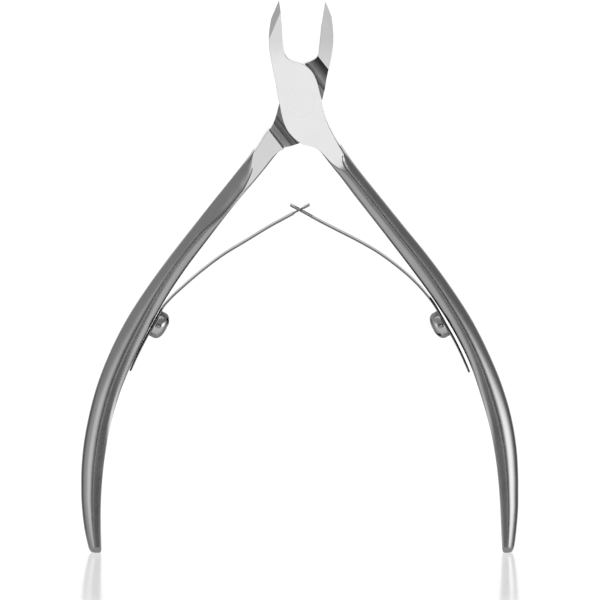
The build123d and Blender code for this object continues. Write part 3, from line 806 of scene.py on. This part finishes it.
def screw_material(name, origin, axis, base, rough):
    """Turned metal: fine rings about the screw's own axis."""
    m, nt, nodes, bsdf = new_mat(name)
    axis = Vector(axis).normalized()
    side = Vector((0, 1, 0))
    if abs(axis.dot(side)) > 0.9:
        side = Vector((1, 0, 0))
    ex = (side - axis * side.dot(axis)).normalized()
    ey = axis.cross(ex)
    tc = nt.nodes.new("ShaderNodeTexCoord")
    sub = nt.nodes.new("ShaderNodeVectorMath")
    sub.operation = "SUBTRACT"
    nt.links.new(tc.outputs["Object"], sub.inputs[0])
    sub.inputs[1].default_value = Vector(origin) * MM

    def dot(v):
        n = nt.nodes.new("ShaderNodeVectorMath")
        n.operation = "DOT_PRODUCT"
        nt.links.new(sub.outputs[0], n.inputs[0])
        n.inputs[1].default_value = v
        return n.outputs["Value"]

    a, b, c = dot(ex), dot(ey), dot(axis)
    r = math_node(nt, "SQRT", math_node(nt, "ADD",
                                        math_node(nt, "MULTIPLY", a, a),
                                        math_node(nt, "MULTIPLY", b, b)))
    cv = nt.nodes.new("ShaderNodeCombineXYZ")
    nt.links.new(math_node(nt, "MULTIPLY", r, 9000.0), cv.inputs[0])
    nt.links.new(math_node(nt, "MULTIPLY", c, 9000.0), cv.inputs[1])
    rings = noise(nt, cv.outputs[0], 1.0, 3.0, 0.6)
    cloud = noise(nt, obj_coords(nt), 700.0, 2.0)
    val = math_node(nt, "ADD", remap(nt, rings, -0.04, 0.04),
                    remap(nt, cloud, base - 0.04, base + 0.04))
    nt.links.new(grey(nt, val), bsdf.inputs["Base Color"])
    nt.links.new(remap(nt, rings, rough - 0.05, rough + 0.06),
                 bsdf.inputs["Roughness"])
    bump(nt, bsdf, rings, 0.16)
    bsdf.inputs["Metallic"].default_value = 1.0
    return m


ARM = arm_material()
# painted shade and light: bands of (mm from the first shoulder, or from c1 when
# negative; value), with a painted highlight band near the first shoulder and painted
# shadow in the dark values near c1
LAP_R = lap_material("arm_lap_floor_r", 0.785, 0.619, 44.66, 60.59,
                     [(0.0, 0.10), (0.10, 0.14), (0.20, 0.60), (0.45, 0.74),
                      (0.7, 0.58), (1.3, 0.60), (1.55, 0.17), (2.3, 0.34),
                      (2.6, 0.12), (2.9, 0.34), (5.0, 0.34), (-5.0, 0.50),
                      (-3.4, 0.46), (-3.2, 0.13), (-2.9, 0.26), (-2.3, 0.55),
                      (-1.7, 0.32), (-0.9, 0.10), (-0.001, 0.05)])
LAP_F = lap_material("arm_lap_floor_f", -0.783, 0.622, 44.8, 60.8,
                     [(0.0, 0.34), (0.06, 0.34), (0.12, 0.30), (0.45, 0.40),
                      (0.6, 0.30), (1.3, 0.34), (1.5, 0.17), (2.4, 0.26),
                      (2.7, 0.09), (2.95, 0.27), (5.0, 0.30), (-5.0, 0.50),
                      (-3.4, 0.46), (-3.2, 0.13), (-2.9, 0.26), (-2.3, 0.55),
                      (-1.7, 0.32), (-0.9, 0.10), (-0.001, 0.05)])
# painted shade and light: the two jaws' ground facets are copies of one finish, the
# left given a dark base (0.125), the right a light one (0.37)
GROUND_L = ground_material("arm_ground_l", 0.125, 0.24, 0.10)
GROUND_R = ground_material("arm_ground_r", 0.37, 0.22, -0.10)
SPRING = spring_material()

# ----------------------------------------------------------------------- arms
front = arm_mesh("vis_front_arm", FRONT_KEYS, FRONT_SECT)
paint(front, ARM)
rear = arm_mesh("vis_rear_arm", REAR_KEYS, REAR_SECT)
# painted shade: the rear arm's steel is a darker copy of the front arm's, polished
# base 0.67 against 0.83
paint(rear, arm_material("arm_steel_rear_painted_shade", 0.67))


def use(tool, mat):
    for nm, v in (("polish_and_edge_shade", 1.0), ("along", 1.0), ("across", 1.0),
                  ("painted_shadow", 0.0)):
        at = tool.data.attributes.new(nm, "FLOAT", "POINT")
        at.data.foreach_set("value", [v] * len(tool.data.vertices))
    paint(tool, mat)
    return tool


cut(front, use(prism("t1", [(-0.744, 96.651), (-7.69, 87.919),
                            (-7.69, 72.964), (0.726, 72.964),
                            (8.344, 82.642), (8.344, 96.651)],
                     -LAP, 9.0), LAP_F))
cut(rear, use(prism("t2", [(1.9, 95.44), (7.24, 88.663), (7.24, 73.71),
                           (-1.21, 73.71), (-7.16, 81.424), (-7.16, 95.44)],
                    -9.0, LAP), LAP_R))
cut(front, use(plane_block("t3", L_LOW, L_TIP, (-5.563, 97.04), -1, 18, 16,
                           8.0), GROUND_L))
cut(rear, use(plane_block("t4", R_LOW, R_TIP, (6.255, 97.04), 1, 18, 16,
                          8.0), GROUND_R))
cut(front, use(plane_block("t5", L_LOW, L_TIP, (-3.36, 98.55), 1, 6.0, 10,
                           3.0, 0.6, -0.35), GROUND_L))
cut(rear, use(plane_block("t6", R_LOW, R_TIP, (3.96, 98.5), -1, 6.0, 10,
                          3.0, 0.6, -0.35), GROUND_R))


def bore(gap, y_face, head, depth):
    """Shank bore with a countersink at y_face, as a closed solid."""
    s = 1 if y_face > 0 else -1
    out = y_face + s * 0.5
    k = 0.5 * (head - 2.0) / depth
    return lathe("bore", [(0, -s * 0.6), (2.0 + gap, -s * 0.6),
                          (2.0 + gap, y_face - s * depth),
                          (head + gap + k, out), (0, out)],
                 (PIVOT[0], 0, PIVOT[1]), (0, 1, 0))


ARM_CUT = screw_material("arm_bore", (PIVOT[0], 0, PIVOT[1]), (0, 1, 0),
                         0.5, 0.3)
cut(front, use(bore(0.006, -FACE, 2.7, 1.0), ARM_CUT))
cut(rear, use(bore(0.05, FACE, 2.7, 1.0), ARM_CUT))

RIVET = arm_material("rivet_steel")
f = FACE
rivet = lathe("vis_pivot_rivet",
              [(0, -f), (2.698, -f), (2.0, -f + 0.99), (1.99, f - 0.99),
               (2.68, f - 0.03), (2.64, f - 0.008), (1.4, f - 0.004),
               (0, f - 0.003)],
              (PIVOT[0], 0, PIVOT[1]), (0, 1, 0), 160)
for nm, val in (("polish_and_edge_shade", 1.0), ("along", 0.0), ("across", 0.0)):
    at = rivet.data.attributes.new(nm, "FLOAT", "POINT")
    at.data.foreach_set("value", [val] * len(rivet.data.vertices))
paint(rivet, RIVET)
finish_mesh(rivet, 14.0, flats=True)


# -------------------------------------------------------------------- springs
def strip_mesh(name, pts, d0, d1, seat_i, width_of, arm_side, step=0.3):
    """Leaf spring: a ribbon along pts, as rings of points round its section.
    d0, d1 are its directions at the ends; it is straight at its screw."""
    def curve(p, ta, tb):
        ts = [0.0]
        for a, b in zip(p, p[1:]):
            ts.append(ts[-1] + math.hypot(b[0] - a[0], b[1] - a[1]))
        n = len(p)
        sl = []
        for j in range(n):
            if j == 0:
                sl.append(ta)
            elif j == n - 1:
                sl.append(tb)
            else:
                h0, h1 = ts[j] - ts[j - 1], ts[j + 1] - ts[j]
                sl.append(tuple(
                    ((p[j][k] - p[j - 1][k]) / h0 * h1
                     + (p[j + 1][k] - p[j][k]) / h1 * h0) / (h0 + h1)
                    for k in (0, 1)))
        out = []
        for j in range(n - 1):
            h = ts[j + 1] - ts[j]
            m = max(2, int(h / step))
            for i in range(m):
                u = i / m
                out.append(tuple(
                    (2*u**3 - 3*u**2 + 1) * p[j][k]
                    + (u**3 - 2*u**2 + u) * h * sl[j][k]
                    + (-2*u**3 + 3*u**2) * p[j + 1][k]
                    + (u**3 - u**2) * h * sl[j + 1][k] for k in (0, 1)))
        out.append(p[-1])
        return out

    def unit(v):
        n = math.hypot(*v)
        return (v[0] / n, v[1] / n)

    along = unit((pts[seat_i + 1][0] - pts[seat_i - 1][0],
                  pts[seat_i + 1][1] - pts[seat_i - 1][1]))
    line = curve(pts[:seat_i], unit(d0), along)
    a, b = pts[seat_i - 1], pts[seat_i + 1]
    line += [(a[0] + (b[0] - a[0]) * i / 20, a[1] + (b[1] - a[1]) * i / 20)
             for i in range(1, 20)]
    line += curve(pts[seat_i + 1:], along, unit(d1))
    s = [0.0]
    for p, q in zip(line, line[1:]):
        s.append(s[-1] + math.hypot(q[0] - p[0], q[1] - p[1]))
    total = s[-1]
    cross_i = min(range(len(line)),
                  key=lambda i: math.hypot(line[i][0] + 0.009,
                                           line[i][1] - 64.457))
    s_cross = s[cross_i]
    # extra rings where the width changes
    want = sorted(set([round(v, 4) for v in s]
                      + [round(v, 4) for v in width_of(None, s_cross, total)
                         if 0 < v < total]))
    keep = [want[0]]
    for v in want[1:]:
        if v - keep[-1] > 0.008:
            keep.append(v)
    verts, faces, rim, al, ac, shadow_side = [], [], [], [], [], []
    t = STRIP_T / 2
    r = 0.10
    N = 14
    for v in keep:
        i = max(j for j in range(len(s) - 1) if s[j] <= v + 1e-9)
        u = (v - s[i]) / (s[i + 1] - s[i])
        x = line[i][0] + (line[i + 1][0] - line[i][0]) * u
        z = line[i][1] + (line[i + 1][1] - line[i][1]) * u
        i0, i1 = max(i - 1, 0), min(i + 2, len(line) - 1)
        dx, dz = unit((line[i1][0] - line[i0][0], line[i1][1] - line[i0][1]))
        nx, nz = -dz, dx
        hw = width_of(v, s_cross, total)
        tt = t if 0.02 < v < total - 0.02 else t - 0.04
        ring = []
        for k in range(N + 1):
            ring.append((-(hw - r) + 2 * (hw - r) * k / N, tt, 1.0))
        for k in range(1, 4):
            a_ = math.pi / 2 * k / 3
            ring.append((hw - r + r * math.sin(a_), tt - r + r * math.cos(a_),
                         0.0))
        for k in range(0, 3):
            a_ = math.pi / 2 * k / 3
            ring.append((hw - r + r * math.cos(a_),
                         -(tt - r) - r * math.sin(a_), 0.0))
        for k in range(N + 1):
            ring.append(((hw - r) - 2 * (hw - r) * k / N, -tt, 1.0))
        for k in range(1, 4):
            a_ = math.pi / 2 * k / 3
            ring.append((-(hw - r) - r * math.sin(a_),
                         -(tt - r) - r * math.cos(a_), 0.0))
        for k in range(0, 3):
            a_ = math.pi / 2 * k / 3
            ring.append((-(hw - r) - r * math.cos(a_),
                         (tt - r) + r * math.sin(a_), 0.0))
        # w_ is 1 on the broad faces and 0 on the rounded edges, which carry the
        # painted edge shade
        for y, n_, w_ in ring:
            verts.append((MM * (x + nx * n_), MM * y, MM * (z + nz * n_)))
            rim.append(w_)
            al.append(v)
            ac.append(y)
            # painted shadow: the side that lies against the arm, near the screw and
            # below, is made near black and not reflective
            shadow_side.append(1.0 if n_ * arm_side > 0.3 * t
                       and z < 47.0 + arm_side else 0.0)
        rn = len(ring)
    rows = len(keep)
    for q in range(rows - 1):
        for j in range(rn):
            a_ = q * rn + j
            b_ = q * rn + (j + 1) % rn
            faces.append((a_, b_, b_ + rn, a_ + rn))
    faces.append(tuple(reversed(range(rn))))
    faces.append(tuple((rows - 1) * rn + j for j in range(rn)))
    me = bpy.data.meshes.new(name)
    me.from_pydata(verts, [], faces)
    for nm, vals in (("polish_and_edge_shade", rim), ("along", al), ("across", ac),
                     ("painted_shadow", shadow_side)):
        me.attributes.new(nm, "FLOAT", "POINT").data.foreach_set("value", vals)
    bm = bmesh.new()
    bm.from_mesh(me)
    bmesh.ops.recalc_face_normals(bm, faces=bm.faces)
    bm.to_mesh(me)
    bm.free()
    return link(bpy.data.objects.new(name, me)), line


LEFT_STRIP = [(1.842, 65.453), (-0.009, 64.457), (-2.478, 63.102),
              (-5.002, 61.73), (-9.752, 58.853), (-14.539, 55.906),
              (-18.111, 53.212), (-21.683, 50.174), (-24.076, 47.928),
              (-25.759, 45.879), (-27.1895, 43.228), (-28.62, 40.577),
              (-30.079, 37.737), (-31.706, 34.128)]
RIGHT_STRIP = [(-1.767, 65.378), (-0.009, 64.457), (3.469, 62.52),
               (7.041, 60.658), (11.098, 58.571), (14.427, 56.653),
               (17.774, 54.247), (20.879, 51.613), (23.253, 49.095),
               (25.666, 45.804), (27.087, 43.2655), (28.508, 40.727),
               (30.023, 37.737), (31.725, 33.864)]


def tail(v, total, hw):
    d = total - v
    if d >= 2.0:
        return hw
    q = max(d, 0.004) / 2.0
    return max(hw * math.sqrt(max(1 - (1 - q) ** 2, 0.0)), 0.14)


def left_width(v, sc, total):
    if v is None:
        out = []
        for c in (sc - 0.75, sc + 1.25, 0.0, total):
            out += [c + d for d in (-0.3, -0.2, -0.12, -0.06, -0.02, 0.02,
                                    0.06, 0.12, 0.2, 0.3)]
        return out + [total - 2.0 + 2.0 * math.sin(math.pi / 2 * i / 16)
                      for i in range(17)]
    d = sc - v                      # towards the tip
    if d > 0.75:
        hw = 1.7
        e = min(v, 0.3)
        hw -= 0.3 - math.sqrt(max(0.09 - (0.3 - e) ** 2, 0.0))
        g = min(max(d - 0.75, 0.0) / 0.10, 1.0)
        return 0.65 + (hw - 0.65) * g
    if d > -1.25:
        return 0.65
    g = min((-1.25 - d) / 0.12, 1.0)
    return tail(v, total, 0.65 + (2.0 - 0.65) * math.sqrt(1 - (1 - g) ** 2))


def right_width(v, sc, total):
    if v is None:
        return [0.02, 0.06, 0.12, 0.2, 0.3, 0.45] + [
            total - 2.0 + 2.0 * math.sin(math.pi / 2 * i / 16)
            for i in range(17)]
    e = min(v, 0.45)
    hw = 2.0 - (0.45 - math.sqrt(max(0.2025 - (0.45 - e) ** 2, 0.0)))
    return tail(v, total, hw)


def oriented_box(name, c, ex, ey, ez, sx, sy, sz):
    vs = []
    for i in (-0.5, 0.5):
        for j in (-0.5, 0.5):
            for k in (-0.5, 0.5):
                vs.append(tuple((c + ex * (i * sx) + ey * (j * sy)
                                 + ez * (k * sz)) * MM))
    fs = [(0, 1, 3, 2), (4, 6, 7, 5), (0, 4, 5, 1), (2, 3, 7, 6),
          (0, 2, 6, 4), (1, 5, 7, 3)]
    me = bpy.data.meshes.new(name)
    me.from_pydata(vs, [], fs)
    bm = bmesh.new()
    bm.from_mesh(me)
    bmesh.ops.recalc_face_normals(bm, faces=bm.faces)
    bm.to_mesh(me)
    bm.free()
    return link(bpy.data.objects.new(name, me))


Y = Vector((0, 1, 0))
l_along = Vector((2.861, 0, 5.302)).normalized()
l_out = Vector((l_along.z, 0, -l_along.x))
r_along = Vector((-2.842, 0, 5.077)).normalized()
r_out = Vector((-r_along.z, 0, r_along.x))
l_base = Vector((-27.1895, 0, 43.228)) + l_out * (STRIP_T / 2)
r_base = Vector((27.087, 0, 43.2655)) + r_out * (STRIP_T / 2)

l_spring, l_line = strip_mesh("vis_left_leaf_spring", LEFT_STRIP, (-4.32, -2.338),
                      (-1.55, -3.67), 10, left_width, -1)
paint(l_spring, SPRING)
r_spring, r_line = strip_mesh("vis_right_leaf_spring", RIGHT_STRIP, (5.236, -2.842),
                      (1.6, -3.85), 10, right_width, 1)
paint(r_spring, SPRING)


def clearance(line, out, z_top):
    """Room for a strip in the side of its arm, with a hairline to spare."""
    near, far = [], []
    pts = [p for p in line if p[1] < z_top]
    last = pts[-1]
    prev = pts[-4]
    pts.append((last[0] + (last[0] - prev[0]) * 0.35,
                last[1] + (last[1] - prev[1]) * 0.35))
    for i, p in enumerate(pts):
        a, c = pts[max(i - 1, 0)], pts[min(i + 1, len(pts) - 1)]
        dx, dz = c[0] - a[0], c[1] - a[1]
        n = math.hypot(dx, dz)
        nx, nz = -dz / n, dx / n
        if nx * out.x + nz * out.z < 0:
            nx, nz = -nx, -nz
        near.append((p[0] - nx * 0.29, p[1] - nz * 0.29))
        far.append((p[0] + nx * 1.5, p[1] + nz * 1.5))
    return prism("clear", near + far[::-1], -9.0, 2.03)


# painted shadow: the faces cut for the strips' clearance are made near black (0.06)
# so the gap beside each strip reads as shadow
SEAT_PAINTED_SHADOW = ground_material("arm_seat_painted_shadow", 0.06, 0.45, 0.3)
cut(rear, use(clearance(l_line, l_out, 47.6), SEAT_PAINTED_SHADOW))
cut(front, use(clearance(r_line, r_out, 47.8), SEAT_PAINTED_SHADOW))
settle_tip(front)
settle_tip(rear)
finish_mesh(front, flats=True, above=0.0766)
finish_mesh(rear, flats=True, above=0.07572)

cross = Vector((-0.009, 0, 64.457))
r_dir = Vector((-5.236, 0, 2.842)).normalized()
cut(r_spring, use(oriented_box("t7", cross - r_dir * 0.8, r_dir, Y,
                               r_dir.cross(Y), 3.6, 1.8, 2.0), SPRING))
for sp, base, out in ((l_spring, l_base, l_out), (r_spring, r_base, r_out)):
    cut(sp, use(lathe("t8", [(0, -1.2), (1.3, -1.2), (1.3, 0.9), (0, 0.9)],
                      base, out, 48), SPRING))
    finish_mesh(sp, 30.0)


# --------------------------------------------------------------------- screws
def screw(name, base, out, rot, mat):
    prof = [(0, -0.42), (1.16, -0.42), (1.2, -0.38), (1.2, 0.0),
            (2.46, 0.0), (2.56, 0.05), (2.6, 0.15), (2.6, 0.5), (2.6, 0.85)]
    # well rounded edge that runs into a low dome
    for i in range(1, 30):
        a = math.pi / 2 * i / 30
        prof.append((2.6 * math.cos(a) ** (2 / 2.35),
                     0.85 + 1.55 * math.sin(a) ** (2 / 2.35)))
    prof.append((0, 2.4))
    ob = lathe(name, prof, base, out, 128)
    paint(ob, mat)
    ex = Matrix.Rotation(rot, 3, out) @ Y
    ey = out.cross(ex)
    cut(ob, use(oriented_box("t9", base + out * (2.4 - 0.95 + 2.0), ex, ey,
                             out, 0.75, 8.0, 4.0), mat))
    bv = ob.modifiers.new("edge", "BEVEL")
    bv.width = 0.00005
    bv.segments = 2
    bv.limit_method = "ANGLE"
    bv.angle_limit = math.radians(50)
    finish_mesh(ob, 26.0)
    return ob


MAT_SL = screw_material("screw_steel_l", l_base, l_out, 0.44, 0.20)
MAT_SR = screw_material("screw_steel_r", r_base, r_out, 0.44, 0.20)
l_screw = screw("vis_left_spring_screw", l_base, l_out, math.radians(38),
                MAT_SL)
r_screw = screw("vis_right_spring_screw", r_base, r_out, math.radians(52),
                MAT_SR)

# --------------------------------------------------------------- frame wiring
for ob, node, body, slot in (
        (front, "front_arm", "front_arm_body", "arm_steel"),
        (rear, "rear_arm", "rear_arm_body", "arm_steel"),
        (rivet, "pivot_rivet", "front_arm_body", "rivet_steel"),
        (l_screw, "left_spring_screw", "rear_arm_body", "screw_steel"),
        (r_screw, "right_spring_screw", "front_arm_body", "screw_steel")):
    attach(ob, body)
    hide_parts(node)
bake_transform(r_spring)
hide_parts("right_leaf_spring")
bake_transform(l_spring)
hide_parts("left_leaf_spring")

# ------------------------------------------------------------- floor and light
me = bpy.data.meshes.new("floor")
R = 0.34
me.from_pydata([(R * math.cos(2 * math.pi * i / 96),
                 R * math.sin(2 * math.pi * i / 96), 0.0)
                for i in range(96)], [], [tuple(range(96))])
floor = link(bpy.data.objects.new("floor", me))
fm = bpy.data.materials.new("floor_white")
fm.use_nodes = True
nt = fm.node_tree
nt.nodes.clear()
out = nt.nodes.new("ShaderNodeOutputMaterial")
mix = nt.nodes.new("ShaderNodeMixShader")
em = nt.nodes.new("ShaderNodeEmission")
em.inputs["Color"].default_value = (1, 1, 1, 1)
flp = nt.nodes.new("ShaderNodeLightPath")
flw = nt.nodes.new("ShaderNodeLayerWeight")
flw.inputs["Blend"].default_value = 0.5
fmr = nt.nodes.new("ShaderNodeMapRange")
fmr.interpolation_type = "SMOOTHSTEP"
fmr.inputs["From Min"].default_value = 0.80
fmr.inputs["From Max"].default_value = 0.58
fmr.inputs["To Min"].default_value = 0.0
fmr.inputs["To Max"].default_value = 1.0
nt.links.new(flw.outputs["Facing"], fmr.inputs["Value"])
ftc = nt.nodes.new("ShaderNodeTexCoord")
fsep = nt.nodes.new("ShaderNodeSeparateXYZ")
nt.links.new(ftc.outputs["Object"], fsep.inputs[0])
fy = nt.nodes.new("ShaderNodeMapRange")
fy.interpolation_type = "SMOOTHSTEP"
fy.inputs["From Min"].default_value = -0.04
fy.inputs["From Max"].default_value = 0.03
fy.inputs["To Min"].default_value = 0.95
fy.inputs["To Max"].default_value = 0.35
nt.links.new(fsep.outputs[1], fy.inputs["Value"])
nt.links.new(mixf(nt, flp.outputs["Is Camera Ray"], fy.outputs["Result"],
                  1.04), em.inputs["Strength"])
clear = nt.nodes.new("ShaderNodeBsdfTransparent")
floor_mix = nt.nodes.new("ShaderNodeMixShader")
nt.links.new(math_node(nt, "MAXIMUM", flp.outputs["Is Camera Ray"],
                       fmr.outputs["Result"]), floor_mix.inputs[0])
nt.links.new(clear.outputs[0], floor_mix.inputs[1])
gl = nt.nodes.new("ShaderNodeBsdfGlossy")
gl.inputs["Roughness"].default_value = 0.12
gl.inputs["Color"].default_value = (1, 1, 1, 1)
lw = nt.nodes.new("ShaderNodeFresnel")
lw.inputs["IOR"].default_value = 1.33
fax = math_node(nt, "ABSOLUTE", fsep.outputs[0])


def step(value, lo, hi):
    n = nt.nodes.new("ShaderNodeMapRange")
    n.interpolation_type = "SMOOTHSTEP"
    n.inputs["From Min"].default_value = lo
    n.inputs["From Max"].default_value = hi
    nt.links.new(value, n.inputs["Value"])
    return n.outputs["Result"]


feet = math_node(nt, "MULTIPLY", step(fax, 0.010, 0.030),
                 step(fax, 0.065, 0.045))
feet = math_node(nt, "MULTIPLY", feet, step(fsep.outputs[1], 0.012, 0.0))
feet = math_node(nt, "MULTIPLY", feet, step(fsep.outputs[1], -0.115, -0.06))
tilt = nt.nodes.new("ShaderNodeCombineXYZ")
tilt.inputs[1].default_value = -math.sin(math.radians(20))
tilt.inputs[2].default_value = math.cos(math.radians(20))
side = nt.nodes.new("ShaderNodeLayerWeight")
side.inputs["Blend"].default_value = 0.5
nt.links.new(tilt.outputs[0], side.inputs["Normal"])
feet = math_node(nt, "MULTIPLY", feet, step(side.outputs["Facing"], 0.75, 0.65))
nt.links.new(math_node(nt, "MULTIPLY", math_node(
    nt, "MULTIPLY", lw.outputs[0], 0.80), feet), mix.inputs[0])
under = nt.nodes.new("ShaderNodeMixShader")
nt.links.new(flp.outputs["Is Camera Ray"], under.inputs[0])
nt.links.new(em.outputs[0], under.inputs[1])
nt.links.new(clear.outputs[0], under.inputs[2])
nt.links.new(under.outputs[0], mix.inputs[1])
nt.links.new(gl.outputs[0], mix.inputs[2])
nt.links.new(mix.outputs[0], floor_mix.inputs[2])
nt.links.new(floor_mix.outputs[0], out.inputs["Surface"])
floor.data.materials.append(fm)

world = bpy.data.worlds.new("studio")
bpy.context.scene.world = world
world.use_nodes = True
nt = world.node_tree
nt.nodes.clear()
w_out = nt.nodes.new("ShaderNodeOutputWorld")
bg = nt.nodes.new("ShaderNodeBackground")
tc = nt.nodes.new("ShaderNodeTexCoord")
sep = nt.nodes.new("ShaderNodeSeparateXYZ")
nt.links.new(tc.outputs["Generated"], sep.inputs[0])
az = math_node(nt, "ARCTAN2", sep.outputs[0],
               math_node(nt, "MULTIPLY", sep.outputs[1], -1.0))
az01 = math_node(nt, "ADD", math_node(nt, "DIVIDE", az, 2 * math.pi), 0.5)
# brightness round the horizon: (azimuth from the front in degrees, value)
BAND = [(-180, 1.0), (-152, 1.0), (-140, 0.2), (-118, 0.15), (-104, 0.40),
        (-88, 0.7), (-64, 0.8), (-56, 1.45), (-34, 1.5), (-22, 0.35),
        (-14, 0.03), (14, 0.03), (26, 0.2), (38, 2.6), (52, 2.8), (72, 2.3),
        (84, 1.0), (98, 0.3), (116, 0.12), (140, 0.2), (152, 1.0),
        (180, 1.0)]
ramp = nt.nodes.new("ShaderNodeValToRGB")
cr = ramp.color_ramp
cr.interpolation = "LINEAR"
for i, (a, v) in enumerate(BAND):
    pos = a / 360 + 0.5
    if i == 0:
        e = cr.elements[0]
        e.position = pos
    elif i == len(BAND) - 1:
        e = cr.elements[-1]
        e.position = pos
    else:
        e = cr.elements.new(pos)
    c = v / 4.0
    e.color = (c, c, c, 1)
nt.links.new(az01, ramp.inputs[0])
band = math_node(nt, "MULTIPLY", ramp.outputs["Color"], 4.0)
mr = nt.nodes.new("ShaderNodeMapRange")
mr.interpolation_type = "SMOOTHSTEP"
mr.inputs["From Min"].default_value = 0.10
mr.inputs["From Max"].default_value = 0.26
nt.links.new(sep.outputs[2], mr.inputs["Value"])
sky = mixf(nt, remap(nt, math_node(nt, "ADD", math_node(
    nt, "MULTIPLY", sep.outputs[0], 0.5), 0.5), 0.0, 1.0), 0.50, 0.24)
mt = nt.nodes.new("ShaderNodeMapRange")
mt.interpolation_type = "SMOOTHSTEP"
mt.inputs["From Min"].default_value = 0.74
mt.inputs["From Max"].default_value = 0.90
nt.links.new(sep.outputs[2], mt.inputs["Value"])
up = mixf(nt, mr.outputs[0], band, mixf(nt, mt.outputs[0], sky, 1.1))
md = nt.nodes.new("ShaderNodeMapRange")
md.interpolation_type = "SMOOTHSTEP"
md.inputs["From Min"].default_value = -0.24
md.inputs["From Max"].default_value = -0.46
nt.links.new(sep.outputs[2], md.inputs["Value"])
low = mixf(nt, md.outputs[0], up, 0.95)
aim = nt.nodes.new("ShaderNodeVectorMath")
aim.operation = "DOT_PRODUCT"
nt.links.new(tc.outputs["Generated"], aim.inputs[0])
aim.inputs[1].default_value = (0.0, -math.cos(math.radians(6)),
                               -math.sin(math.radians(6)))
mw = nt.nodes.new("ShaderNodeMapRange")
mw.interpolation_type = "SMOOTHSTEP"
mw.inputs["From Min"].default_value = math.cos(math.radians(7.2))
mw.inputs["From Max"].default_value = math.cos(math.radians(4.6))
nt.links.new(aim.outputs["Value"], mw.inputs["Value"])
both = mixf(nt, mw.outputs[0], low, 1.06)
lp = nt.nodes.new("ShaderNodeLightPath")
final = mixf(nt, lp.outputs["Is Camera Ray"], both, 1.06)
nt.links.new(final, bg.inputs["Strength"])
bg.inputs["Color"].default_value = (1, 1, 1, 1)
nt.links.new(bg.outputs[0], w_out.inputs["Surface"])
bpy.context.scene.view_settings.view_transform = "Standard"

# --------------------------------------------------------------------- camera
D = 3.0
elev = math.radians(6)
target = Vector((0.00005, 0, 0.04747))
cam_data = bpy.data.cameras.new("camera")
cam_data.sensor_width = 36.0
cam_data.lens = 36.0 * D / 0.1122
cam_data.clip_start = 0.01
cam_data.clip_end = 20
cam = link(bpy.data.objects.new("camera", cam_data))
cam.location = target + Vector((0, -math.cos(elev), math.sin(elev))) * D
cam.rotation_euler = (target - cam.location).to_track_quat("-Z", "Y").to_euler()
bpy.context.scene.camera = cam
